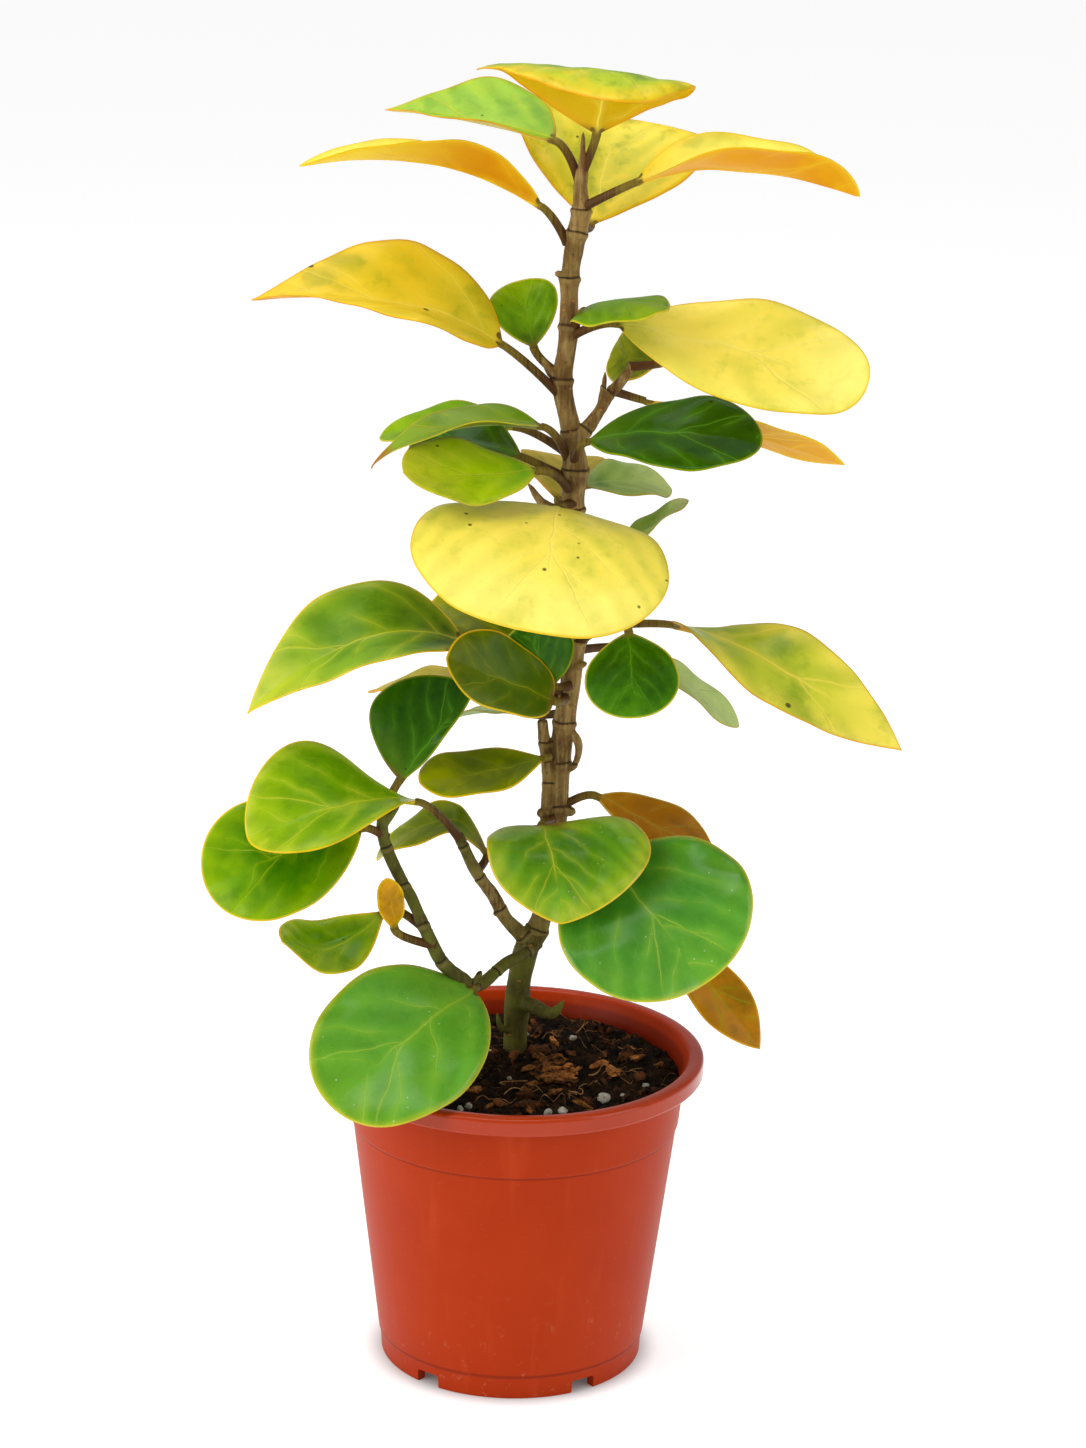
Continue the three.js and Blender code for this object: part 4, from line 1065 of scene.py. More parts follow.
@dataclass
class Stem:
    """Trunk, side branches, buds and scars as one ringed, knobbly woody body."""

    trunk: list[Station]
    scars: list[float]
    branches: list[list[Station]]
    spurs: list[list[Station]]
    name: str = "stem_wood"
    step: float = 0.9
    sides: int = 28
    voxel: float = 0.42
    scar_rise: float = 0.42
    branch_scar_step: float = 13.5
    seed: int = 52
    batch: int = 4000

    def path(self, stations: list[Station]) -> np.ndarray:
        """Runs a smooth curve through the stations.

        Args:
            stations: Places of the axis and radii.

        Returns:
            Many places and radii, one row each.
        """
        rows = np.array(stations, float)
        rows = np.vstack([2 * rows[0] - rows[1], rows, 2 * rows[-1] - rows[-2]])
        fine = []
        for before, start, end, after in zip(rows[:-3], rows[1:-2], rows[2:-1], rows[3:]):
            reach = np.linalg.norm((end - start)[:3])
            for t in np.linspace(0, 1, max(2, int(reach / self.step)), endpoint=False):
                first = 2 * start + (end - before) * t
                second = (2 * before - 5 * start + 4 * end - after) * t**2
                third = (3 * start - before - 3 * end + after) * t**3
                fine.append((first + second + third) / 2)
        fine.append(rows[-2])
        curve = np.array(fine)
        curve[:, 3] = np.maximum(curve[:, 3], 0.3)
        return curve

    def tube(self, curve: np.ndarray) -> tuple[np.ndarray, Faces]:
        """Lays round rings along a curve and closes its ends.

        Args:
            curve: Places and radii.

        Returns:
            Points and faces.
        """
        ways = unit(np.gradient(curve[:, :3], axis=0))
        side = np.cross(ways[0], SLANT)
        cosines, sines = circle(self.sides)
        rings = []
        for place, radius, way in zip(curve[:, :3], curve[:, 3], ways):
            side = unit(side - way * (side @ way))
            rings.append(place + radius * (np.outer(cosines, side) + np.outer(sines, np.cross(way, side))))
        return np.vstack(rings), tube_faces(len(rings), self.sides) + end_caps(len(rings), self.sides)

    def scarred(self, curve: np.ndarray) -> np.ndarray:
        """Swells the trunk at its leaf scars, with a thin ridge in the middle of each.

        Args:
            curve: Places and radii of the trunk.

        Returns:
            The same places with their new radii.
        """
        out = curve.copy()
        for number, height in enumerate(self.scars):
            gap = curve[:, 2] - height
            swell = self.scar_rise * (0.7 + 0.6 * ((number * SEED_STEP) % 1))
            out[:, 3] += swell * hump(gap, 2.0) + 0.25 * hump(gap, 0.5)
            out[:, 3] -= 0.12 * hump(gap - 1.5, 0.5)
        return out

    def blob(self, spur: list[Station]) -> np.ndarray:
        """Runs a curve along a short spur and rounds off its end.

        Args:
            spur: Places of the axis and radii.

        Returns:
            Many places and radii, one row each.
        """
        curve = self.path(spur)
        share = np.linspace(0, 1, len(curve))
        curve[:, 3] *= np.sqrt(np.clip(1 - np.clip((share - 0.8) / 0.2, 0, 0.93) ** 2, 0, 1))
        return curve

    def build(self) -> Piece:
        """Makes the wood as one closed mesh.

        Returns:
            The finished object.
        """
        curves = [self.scarred(self.path(self.trunk))]
        curves += [self.path(branch) for branch in self.branches]
        curves += [self.blob(spur) for spur in self.spurs]
        points: list[np.ndarray] = []
        faces: Faces = []
        offset = 0
        for curve in curves:
            new_points, new_faces = self.tube(curve)
            points.append(new_points)
            faces += [tuple(corner + offset for corner in face) for face in new_faces]
            offset += len(new_points)
        piece = new_object(self.name, np.vstack(points), faces)
        remesh = piece.modifiers.new("fuse", "REMESH")
        remesh.mode = "VOXEL"
        remesh.voxel_size = self.voxel * MM
        soften = piece.modifiers.new("soften", "SMOOTH")
        soften.factor = 0.5
        soften.iterations = 3
        applied(piece)
        self.roughen(piece, curves)
        return piece

    def roughen(self, piece: Piece, curves: list[np.ndarray]) -> None:
        """Adds the bark's relief and stores how far along the wood each vertex lies.

        Args:
            piece: The fused wood.
            curves: Axes of the trunk and branches.
        """
        places = vertices_mm(piece)
        long_curves = curves[: 1 + len(self.branches)]
        axis = np.vstack(long_curves)
        lengths, ways, rings = [], [], []
        for number, curve in enumerate(long_curves):
            steps = np.linalg.norm(np.diff(curve[:, :3], axis=0), axis=1)
            lengths.append(np.concatenate([[0], np.cumsum(steps)]))
            ways.append(unit(np.gradient(curve[:, :3], axis=0)))
            heights = np.interp(self.scars, curve[:, 2], lengths[-1])
            marks = heights if number == 0 else np.arange(5.0, lengths[-1][-1], self.branch_scar_step)
            closest = np.abs(lengths[-1][:, None] - marks[None, :]).argmin(1)
            rings.append(marks[closest])
        length, way, ring = np.concatenate(lengths), np.vstack(ways), np.concatenate(rings)
        nearest = np.empty(len(places), int)
        for start in range(0, len(places), self.batch):
            gaps = places[start:start + self.batch, None, :] - axis[None, :, :3]
            nearest[start:start + self.batch] = (gaps**2).sum(2).argmin(1)
        along = length[nearest] + ((places - axis[nearest, :3]) * way[nearest]).sum(1)
        normals = np.zeros(len(places) * 3, np.float32)
        piece.data.vertices.foreach_get("normal", normals)
        normals = normals.reshape(-1, 3)
        lumps = ripple(places, 9.0, self.seed) * 0.09 + ripple(places, 1.7, self.seed + 1) * 0.02
        stretched = places * np.array([1.0, 1.0, 0.12])
        grooves = ripple(stretched, 1.6, self.seed + 2) * 0.03
        from_ring = along - ring[nearest] + ripple(places, 7.0, self.seed + 3) * 0.25
        ridge = hump(from_ring, 0.8) * 0.16 - hump(from_ring - 1.0, 0.35) * 0.12
        moved = places + normals * (lumps + grooves + ridge)[:, None]
        piece.data.vertices.foreach_set("co", to_row(moved).astype(np.float32).ravel())
        piece.data.update()
        store(piece, "wood_ring", from_ring)
        piece.data.shade_smooth()

    @staticmethod
    def material() -> Material:
        """Builds the bark: grey-brown, greener low down, with rings, a painted highlight along each ring's
        ridge, flecks and pale pores.

        Returns:
            The finished material.
        """
        recipe = Recipe("bark")
        place = recipe.object_place()
        height = recipe.split(place)[2]
        from_ring = recipe.attribute("wood_ring")
        clouds = recipe.noise(place, 90.0, 4.0, 0.6)
        fine = recipe.noise(place, 520.0, 4.0, 0.65)
        streaks = recipe.noise(recipe.stretched(place, (1.0, 1.0, 0.12)), 700.0, 3.0, 0.6)
        colour = recipe.mix(clouds.step(0.36, 0.64), srgb(104, 74, 28), srgb(148, 118, 62))
        colour = recipe.mix(streaks.step(0.46, 0.68) * 0.6, colour, srgb(174, 152, 96))
        colour = recipe.mix(streaks.step(0.46, 0.3) * 0.55, colour, srgb(88, 58, 30))
        colour = recipe.mix(fine.step(0.42, 0.3) * 0.6, colour, srgb(56, 38, 20))
        side = recipe.split(place)[0]
        branch_height = (side + 0.018).step(0.0, -0.012) * height.step(0.232, 0.214)
        greener = height.step(0.155, 0.128).largest(branch_height) * (0.5 + clouds * 0.7)
        olive = recipe.mix(clouds.step(0.4, 0.6), srgb(60, 66, 6), srgb(92, 98, 18))
        colour = recipe.mix(greener.least(0.9), colour, olive)
        # Painted highlight: a lighter band along the ridge of each ring scar.
        colour = recipe.mix(abs(from_ring + 0.2).step(1.0, 0.2) * 0.35, colour, srgb(150, 126, 74))
        ring = abs(from_ring - 1.0 + (fine - 0.5) * 0.5).step(0.42, 0.15) * (0.3 + clouds)
        colour = recipe.mix(ring.least(0.85), colour, srgb(40, 26, 12))
        pore = recipe.dots(recipe.stretched(place, (1.0, 1.0, 1.6)), 330.0, (0.28, 0.12), (0.82, 0.86))
        colour = recipe.mix(pore * 0.85, colour, srgb(182, 128, 62))
        relief = fine * 0.4 + streaks * 0.4 + clouds * 0.3 + pore * 0.5 - ring * 0.6
        roughness = 0.62 + fine * 0.22
        return recipe.finish(colour, roughness, relief, 0.0005, Specular_IOR_Level=0.3)


@dataclass
class Pot:
    """A thin-walled moulded nursery pot: rolled rim, step lines, foot ring and drain holes."""

    height: float = 102.4
    rim_radius: float = 60.0
    rim_band: float = 6.0
    rim_inner: float = 55.2
    crest: float = 2.4
    rounding: float = 0.8
    hollow: float = 1.2
    wall: float = 1.6
    foot_radius: float = 42.0
    foot_ring: float = 3.4
    foot_step: float = 7.0
    foot_flare: float = 0.4
    body_foot: float = 42.9
    step_line: float = 79.8
    body_step: float = 51.9
    step_rise: float = 0.5
    body_top: float = 54.3
    under_rim: float = 96.8
    floor_low: float = 5.0
    floor_high: float = 6.8
    notch_count: int = 5
    notch_angle: float = 34.0
    notch_width: float = 8.4
    notch_height: float = 4.4
    notch_corner: float = 0.9
    notch_bevel: float = 0.3
    drain_radius: float = 4.0
    drain_circle: float = 28.0
    drain_sides: int = 40
    cutter_reach: float = 6.0
    cutter_drop: float = 2.0
    corner_share: float = 0.45
    support_gap: float = 0.3
    support_share: float = 0.04
    sharp_angle: float = 38.0
    wall_slope: float = 0.127
    mid_wall: tuple[float, float] = (41.5, 40.9)
    # Heights of the painted shadow lines, just under the step line and just above the foot.
    shadow_line_heights: tuple[float, float] = (79.1, 7.8)
    sides: int = 200

    def inner_radius(self, height: float) -> float:
        """Gives the inside radius of the wall at a height.

        Args:
            height: Height in millimetres.

        Returns:
            The radius in millimetres.
        """
        share = (height - self.floor_high) / (self.under_rim - self.floor_high)
        low, high = self.body_foot - self.wall, self.body_top - self.wall
        return low + (high - low) * share

    def profile(self) -> list[tuple[float, float]]:
        """Lists the section from the underside's middle, round the rim, to the floor's middle.

        Returns:
            Radius and height of each point.
        """
        foot_inside = self.foot_radius - self.foot_ring
        rim_foot = self.height - self.rim_band
        skirt = self.rim_radius - self.wall
        corners = [
            (0.0, self.floor_low, 0.0),
            (foot_inside, self.floor_low, 0.4),
            (foot_inside, 0.0, 0.5),
            (self.foot_radius, 0.0, 0.6),
            (self.foot_radius + self.foot_flare, self.foot_step - self.foot_flare, 0.25),
            (self.body_foot, self.foot_step + self.foot_flare, 0.3),
            (self.body_step, self.step_line - self.step_rise, 0.3),
            (self.body_step + self.step_rise, self.step_line, 0.3),
            (self.body_top, self.under_rim, 0.5),
            (skirt - self.hollow, self.height - self.wall - self.crest, 0.3),
            (skirt, self.height - self.wall - self.crest - self.rounding, 0.4),
            (skirt, rim_foot, 0.3),
            (self.rim_radius, rim_foot, 0.8),
            (self.rim_radius, self.height - self.crest * 0.25, 2.0),
            (self.rim_radius - self.crest, self.height, 1.0),
            (self.rim_inner, self.height - self.rounding * 0.5, 1.5),
            (self.inner_radius(self.under_rim), self.under_rim, 2.0),
            (self.inner_radius(self.floor_high), self.floor_high, 1.4),
            (0.0, self.floor_high, 0.0),
        ]
        return self.rounded(corners)

    def rounded(self, corners: list[Point], steps: int = 5) -> list[tuple[float, float]]:
        """Replaces each corner by a short curve, with a ring before and after it to keep the walls flat.

        Args:
            corners: Radius, height and rounding of each corner.
            steps: Points on a rounded corner.

        Returns:
            The finer section.
        """
        section: list[tuple[float, float]] = []
        for number, (radius, height, size) in enumerate(corners):
            corner = np.array([radius, height])
            if size == 0.0:
                section.append((radius, height))
                continue
            before = np.array(corners[number - 1][:2]) - corner
            after = np.array(corners[number + 1][:2]) - corner
            lengths = np.linalg.norm(before), np.linalg.norm(after)
            reach = min(size, *(length * self.corner_share for length in lengths))
            gaps = [min(self.support_gap, length * self.support_share) for length in lengths]
            back, ahead = unit(before), unit(after)
            start, end = corner + back * reach, corner + ahead * reach
            shares = np.linspace(0, 1, steps)
            curve = [(1 - t) ** 2 * start + 2 * t * (1 - t) * corner + t**2 * end for t in shares]
            rings = (start + back * gaps[0], *curve, end + ahead * gaps[1])
            section += [(float(radius), float(height)) for radius, height in rings]
        return section

    def build(self) -> Piece:
        """Turns the section round and cuts the foot notches and drain holes.

        Returns:
            The finished object.
        """
        section = self.profile()
        rings = section[1:-1]
        cosines, sines = circle(self.sides)
        points = [np.array([[0.0, 0.0, section[0][1]], [0.0, 0.0, section[-1][1]]])]
        for radius, height in rings:
            points.append(np.column_stack([cosines * radius, sines * radius, np.full(self.sides, height)]))
        faces = turned_faces(2, len(rings), self.sides, 0, 1)
        piece = new_object("pot_shell", np.vstack(points), faces)
        cutters = self.cutters()
        for cutter in cutters:
            cut = piece.modifiers.new("cut", "BOOLEAN")
            cut.operation = "DIFFERENCE"
            cut.object = cutter
            cut.solver = "EXACT"
        applied(piece)
        for cutter in cutters:
            bpy.data.objects.remove(cutter, do_unlink=True)
        piece.data.set_sharp_from_angle(angle=math.radians(self.sharp_angle))
        return piece

    def cutters(self) -> list[Piece]:
        """Makes the blocks that cut the foot notches and drain holes.

        Returns:
            The blocks.
        """
        top, half = self.notch_height, self.notch_width / 2
        outline = [
            (half, -self.cutter_drop), (half, top - self.notch_corner),
            (half - self.notch_bevel, top - self.notch_bevel), (half - self.notch_corner, top),
        ]
        outline += [(-y, z) for y, z in reversed(outline)]
        middle = self.foot_radius - self.foot_ring / 2
        reaches = middle - self.cutter_reach, middle + self.cutter_reach
        ends = [[(x, y, z) for y, z in outline] for x in reaches]
        cosines, sines = circle(self.drain_sides)
        x, y = self.drain_circle + self.drain_radius * cosines, self.drain_radius * sines
        levels = self.floor_low - self.cutter_reach / 2, self.floor_high + self.cutter_reach / 2
        rings = [[(*place, level) for place in zip(x, y)] for level in levels]
        made = []
        for k in range(self.notch_count):
            turn = Matrix.Rotation(math.radians(self.notch_angle - 90 + 360 * k / self.notch_count), 4, "Z")
            made += [self.prism(*ends, turn), self.prism(*rings, turn)]
        return made

    @staticmethod
    def prism(first: list[Point], second: list[Point], turn: Matrix) -> Piece:
        """Makes a closed block between two like outlines.

        Args:
            first: Outline at one end.
            second: Outline at the other end.
            turn: Turn round the pot.

        Returns:
            The block.
        """
        count = len(first)
        points = np.array([tuple(turn @ Vector(point)) for point in first + second])
        block = new_object("cutter", points, end_caps(2, count) + tube_faces(2, count), smooth=False)
        outward = Vector(points[:count].mean(axis=0) - points.mean(axis=0))
        if block.data.polygons[0].normal.dot(outward) < 0:
            block.data.flip_normals()
        return block

    def material(self) -> Material:
        """Builds the terracotta-coloured plastic with its scuffs, faint streaks and dust, painted shade on
        the inside and painted shadow lines under the step line and above the foot.

        Returns:
            The finished material.
        """
        recipe = Recipe("pot plastic")
        place = recipe.object_place()
        x, y, height = recipe.split(place)
        x = x - PLANT_SHIFT_X * MM
        clouds = recipe.noise(place, 34.0, 3.0)
        fine = recipe.noise(place, 900.0, 2.0)
        streaks = recipe.noise(recipe.stretched(place, (1.0, 1.0, 0.08)), 160.0, 3.0)
        colour = recipe.mix(clouds, srgb(163, 42, 0), srgb(180, 56, 4))
        colour = recipe.mix(streaks.step(0.55, 0.8) * 0.2, colour, srgb(208, 80, 40))
        radius = (x * x + y * y) ** 0.5
        outer, inner = (reach * MM for reach in self.mid_wall)
        # Painted shade: the inside of the pot above its floor is made darker than the same plastic outside.
        inside = (radius - height * self.wall_slope).step(outer, inner) * height.step(0.005, 0.008)
        colour = recipe.mix(inside * 0.75, colour, srgb(118, 30, 10))
        # Painted shadow: thin dark lines just under the step line and just above the foot, on the outside
        # only.
        high, low = (level * MM for level in self.shadow_line_heights)
        lines = abs(height - high).step(0.0006, 0.0002) + abs(height - low).step(0.0008, 0.0003)
        colour = recipe.mix(lines * (1 - inside) * 0.45, colour, srgb(92, 20, 4))
        scuffs = recipe.noise(recipe.stretched(place, (1.0, 1.0, 5.0)), 420.0, 2.0, 0.7)
        scuff = scuffs.step(0.68, 0.76)
        dust = recipe.noise(place, 260.0, 4.0, 0.7).step(0.6, 0.75) * height.step(0.05, 0.0)
        colour = recipe.mix(dust * 0.3, colour, srgb(206, 150, 122))
        colour = recipe.mix(scuff * 0.14, colour, srgb(228, 150, 120))
        rim = height.step(0.0955, 0.0965) * radius.step(0.055, 0.0565)
        roughness = 0.38 + clouds * 0.1 + scuff * 0.12 + dust * 0.15 - rim * 0.2
        relief = fine * 0.5 + scuff * 0.3 + streaks * 0.15
        return recipe.finish(colour, roughness, relief, 0.00006, Specular_IOR_Level=0.1,
                             Coat_Weight=rim * 0.5, Coat_Roughness=0.12)


class Chip(Enum):
    """Kinds of loose bits in the potting mix."""

    BARK = "bark"
    PERLITE = "perlite"
    CRUMB = "crumb"
    COIR = "coir"
    FIBRE = "fibre"


HALF_SIZES = {
    Chip.BARK: (0.62, 0.38, 0.2),
    Chip.PERLITE: (0.5, 0.46, 0.42),
    Chip.CRUMB: (0.5, 0.42, 0.36),
    Chip.COIR: (0.66, 0.26, 0.2),
}
ROUGHNESS = {Chip.BARK: 0.3, Chip.PERLITE: 0.16, Chip.CRUMB: 0.16, Chip.COIR: 0.42}


@dataclass
class Scatter:
    """Strews loose bits over a surface with a node tree whose inputs are named."""

    name: str
    kind: Chip
    density: float
    smallest: float
    largest: float
    tilt: float
    seed: int
    variants: int = 6

    def lump(self, random: np.random.Generator, number: int) -> tuple[np.ndarray, Faces]:
        """Makes one bit about one millimetre across, at the middle.

        Args:
            random: Source of the draws.
            number: Which variant it is.

        Returns:
            Points in millimetres and faces.
        """
        if self.kind is Chip.FIBRE:
            return self.strand(random)
        rows, columns = (7, 10) if self.kind is Chip.PERLITE else (6, 8)
        points = [(0.0, 0.0, -1.0)]
        for row in range(1, rows):
            polar = math.pi * row / rows
            for column in range(columns):
                turn = 2 * math.pi * (column + 0.5 * (row % 2)) / columns
                radius = math.sin(polar)
                points.append((radius * math.cos(turn), radius * math.sin(turn), -math.cos(polar)))
        ball = np.array([*points, (0.0, 0.0, 1.0)])
        ball *= (1 + ROUGHNESS[self.kind] * ripple(ball, 1.5, self.seed * 31 + number, 8))[:, None]
        if self.kind is Chip.BARK:
            ball = np.sign(ball) * np.abs(ball) ** 0.6
        ball *= np.array(HALF_SIZES[self.kind])
        return ball, turned_faces(1, rows - 1, columns, 0, len(ball) - 1)

    @staticmethod
    def strand(random: np.random.Generator) -> tuple[np.ndarray, Faces]:
        """Makes one thin bent fibre, one millimetre long for each unit of scale.

        Args:
            random: Source of the draws.

        Returns:
            Points in millimetres and faces.
        """
        bends = random.normal(size=(4, 2)) * 0.16
        rings, sides, thickness = 13, 5, 0.022
        cosines, sines = circle(sides)
        round_way = np.column_stack([np.zeros(sides), cosines, sines])
        points = []
        for t in np.linspace(0, 1, rings):
            sideways = sum(bend * math.sin((i + 1) * 2.2 * t) for i, bend in enumerate(bends[:, 0]))
            upwards = abs(sum(bend * math.sin((i + 1) * 1.7 * t) for i, bend in enumerate(bends[:, 1])))
            middle = np.array([t - 0.5, sideways, upwards * 0.6])
            points.append(middle + thickness * (1 - 0.6 * t) * round_way)
        return np.vstack(points), tube_faces(rings, sides) + end_caps(rings, sides)

    def bits(self) -> bpy.types.Collection:
        """Makes the collection of bits that the node tree picks from.

        Returns:
            The collection.
        """
        random = np.random.default_rng(self.seed)
        kinds = bpy.data.collections.new(f"{self.name} bits")
        for number in range(self.variants):
            points, faces = self.lump(random, number)
            mesh = bpy.data.meshes.new(f"{self.name} {number}")
            mesh.from_pydata((points * MM).tolist(), [], faces)
            if self.kind is not Chip.BARK:
                mesh.shade_smooth()
            tint = mesh.attributes.new("bit_tint", "FLOAT", "POINT")
            tint.data.foreach_set("value", np.full(len(points), random.random(), np.float32))
            kinds.objects.link(bpy.data.objects.new(f"{self.name} {number}", mesh))
        return kinds

    def tree(self) -> bpy.types.GeometryNodeTree:
        """Builds the node tree that strews the bits.

        Returns:
            The node tree.
        """
        tree = bpy.data.node_groups.new(self.name, "GeometryNodeTree")
        sockets = {
            "Geometry": "Geometry", "Kinds": "Collection", "Density": "Float", "Smallest": "Float",
            "Largest": "Float", "Tilt": "Float", "Seed": "Int", "Finish": "Material",
        }
        for title, kind in sockets.items():
            tree.interface.new_socket(title, in_out="INPUT", socket_type=f"NodeSocket{kind}")
        tree.interface.new_socket("Geometry", in_out="OUTPUT", socket_type="NodeSocketGeometry")
        add = partial(add_node, tree)
        given = add("NodeGroupInput", {}, {}).outputs
        points = add("GeometryNodeDistributePointsOnFaces", {"distribute_method": "RANDOM"},
                     {"Mesh": given["Geometry"], "Density": given["Density"], "Seed": given["Seed"]})
        kinds = add("GeometryNodeCollectionInfo", {},
                    {"Collection": given["Kinds"], "Separate Children": True, "Reset Children": True})
        lowest = add("ShaderNodeMath", {"operation": "MULTIPLY"}, {0: given["Tilt"], 1: -1.0})
        low = add("ShaderNodeCombineXYZ", {}, {"X": lowest.outputs[0], "Y": lowest.outputs[0], "Z": 0.0})
        high = add("ShaderNodeCombineXYZ", {}, {"X": given["Tilt"], "Y": given["Tilt"], "Z": 2 * math.pi})
        turn = add("FunctionNodeRandomValue", {"data_type": "FLOAT_VECTOR"},
                   {0: low.outputs[0], 1: high.outputs[0], "Seed": given["Seed"]})
        size = add("FunctionNodeRandomValue", {"data_type": "FLOAT"},
                   {2: 0.0, 3: 1.0, "Seed": given["Seed"]})
        skewed = add("ShaderNodeMath", {"operation": "POWER"}, {0: size.outputs[1], 1: 2.0})
        scale = add("ShaderNodeMapRange", {},
                    {"Value": skewed.outputs[0], "To Min": given["Smallest"], "To Max": given["Largest"]})
        placed = add("GeometryNodeInstanceOnPoints", {}, {
            "Points": points.outputs["Points"], "Instance": kinds.outputs[0], "Pick Instance": True,
            "Rotation": turn.outputs[0], "Scale": scale.outputs[0],
        })
        real = add("GeometryNodeRealizeInstances", {}, {"Geometry": placed.outputs[0]})
        dressed = add("GeometryNodeSetMaterial", {},
                      {"Geometry": real.outputs[0], "Material": given["Finish"]})
        add("NodeGroupOutput", {}, {0: dressed.outputs[0]})
        return tree

    def build(self, surface: Piece, finish: Material) -> Piece:
        """Strews the bits over a surface and turns them into a plain mesh.

        Args:
            surface: Object whose mesh becomes the bits.
            finish: Material of the bits.

        Returns:
            The finished object.
        """
        kinds = self.bits()
        surface.name = self.name
        modifier = surface.modifiers.new("strew", "NODES")
        modifier.node_group = self.tree()
        values = {
            "Kinds": kinds, "Density": self.density, "Smallest": self.smallest, "Largest": self.largest,
            "Tilt": self.tilt, "Seed": self.seed, "Finish": finish,
        }
        for item in modifier.node_group.interface.items_tree:
            if item.in_out == "INPUT" and item.name in values:
                modifier[item.identifier] = values[item.name]
        applied(surface)
        for bit in list(kinds.objects):
            bpy.data.objects.remove(bit, do_unlink=True)
        bpy.data.collections.remove(kinds)
        return surface


@dataclass
class Soil:
    """Potting mix: an uneven peat surface strewn with bark, fibres, crumbs and perlite."""

    top: float = 95.4
    mound: float = 1.6
    mound_radius: float = 22.0
    roughness: float = 0.9
    stem_x: float = -0.5
    stem_y: float = 13.0
    radius: float = 52.2
    floor_radius: float = 41.4
    floor: float = 7.1
    edge_dip: float = 1.2
    edge_reach: float = 3.5
    bits_margin: float = 2.0
    heap_count: int = 38
    heap_middle: tuple[float, float] = (11.0, -8.0)
    heap_reach: tuple[float, float] = (9.0, 15.0)
    heap_bit: tuple[float, float] = (1.6, 6.4)
    bit_lift: float = 0.6
    rings: int = 64
    sides: int = 230
    bits_rings: int = 24
    bits_sides: int = 60
    seed: int = 71

    def height(self, x: np.ndarray, y: np.ndarray) -> np.ndarray:
        """Gives the height of the mix at places.

        Args:
            x: Places to the right in millimetres.
            y: Places to the back in millimetres.

        Returns:
            Heights in millimetres.
        """
        gap = np.hypot(x - self.stem_x, y - self.stem_y)
        mound = self.mound * hump(gap, self.mound_radius)
        broad = np.sin(x / 2.4 + 1.3) * np.cos(y / 2.7 - 0.6)
        small = np.sin(x / 1.2 - y / 1.4) / 2
        flat = np.column_stack([x, y, np.zeros_like(x)])
        crumbs = ripple(flat, 3.2, self.seed) * 0.35 + ripple(flat, 1.2, self.seed + 1, 24) * 0.3
        edge = smooth_steps(np.hypot(x, y), self.radius - self.edge_reach, self.radius) * self.edge_dip
        return self.top + mound + self.roughness * 0.75 * (broad + small) + crumbs - edge

    def disc(self, name: str, radius: float, rings: int, sides: int, closed: bool) -> Piece:
        """Makes the top of the mix, and its sides and underside if it is closed.

        Args:
            name: Name of the object.
            radius: How far it reaches.
            rings: Steps from the middle to the edge.
            sides: Steps round.
            closed: Whether the body below is made too.

        Returns:
            The object.
        """
        cosines, sines = circle(sides)
        steps = range(1, rings + 1)
        x = np.concatenate([np.zeros(1), *(cosines * radius * k / rings for k in steps)])
        y = np.concatenate([np.zeros(1), *(sines * radius * k / rings for k in steps)])
        points = [np.column_stack([x, y, self.height(x, y)])]
        faces: Faces = []
        for j in range(sides):
            following = (j + 1) % sides
            faces.append((0, 1 + j, 1 + following))
            for k in range(rings - 1):
                low, high = 1 + k * sides, 1 + (k + 1) * sides
                faces.append((low + j, high + j, high + following, low + following))
        if closed:
            foot_ring = np.column_stack([cosines, sines]) * self.floor_radius
            points.append(np.column_stack([foot_ring, np.full(sides, self.floor)]))
            points.append(np.array([[0.0, 0.0, self.floor]]))
            rim, foot = 1 + (rings - 1) * sides, 1 + rings * sides
            for j in range(sides):
                following = (j + 1) % sides
                faces.append((rim + j, foot + j, foot + following, rim + following))
                faces.append((foot + sides, foot + following, foot + j))
        return new_object(name, np.vstack(points), faces)

    def build(self) -> list[tuple[Piece, Material | None]]:
        """Makes the peat and everything strewn on it.

        Returns:
            The objects, each with its material unless it has one.
        """
        peat = self.disc("soil_peat", self.radius, self.rings, self.sides, closed=True)
        finish = self.bit_material()
        kinds = (
            Scatter("soil_crumbs", Chip.CRUMB, 90000.0, 0.7, 3.2, 3.0, 11),
            Scatter("soil_bark", Chip.BARK, 12500.0, 1.6, 7.0, 1.1, 12),
            Scatter("soil_perlite", Chip.PERLITE, 1900.0, 0.8, 1.7, 3.0, 17),
            Scatter("soil_fibres", Chip.FIBRE, 8600.0, 2.6, 9.0, 0.5, 14),
        )
        pieces: list[tuple[Piece, Material | None]] = [(peat, self.peat_material())]
        for kind in kinds:
            reach = self.radius - self.bits_margin
            surface = self.disc(kind.name, reach, self.bits_rings, self.bits_sides, closed=False)
            pieces.append((kind.build(surface, finish[kind.kind]), None))
        random = np.random.default_rng(self.seed)
        heap = []
        for _ in range(self.heap_count):
            turn, share = random.uniform(0, 2 * math.pi), math.sqrt(random.random())
            x = self.heap_middle[0] + self.heap_reach[0] * share * math.cos(turn)
            y = self.heap_middle[1] + self.heap_reach[1] * share * math.sin(turn)
            heap.append((x, y, random.uniform(*self.heap_bit)))
        for name, kind, spots in (
            ("soil_coir", Chip.COIR, heap + COIR_BITS),
            ("soil_stones", Chip.PERLITE, STONES),
            ("soil_twigs", Chip.FIBRE, TWIGS),
        ):
            pieces.append((self.laid(name, kind, spots), finish[kind]))
        return pieces

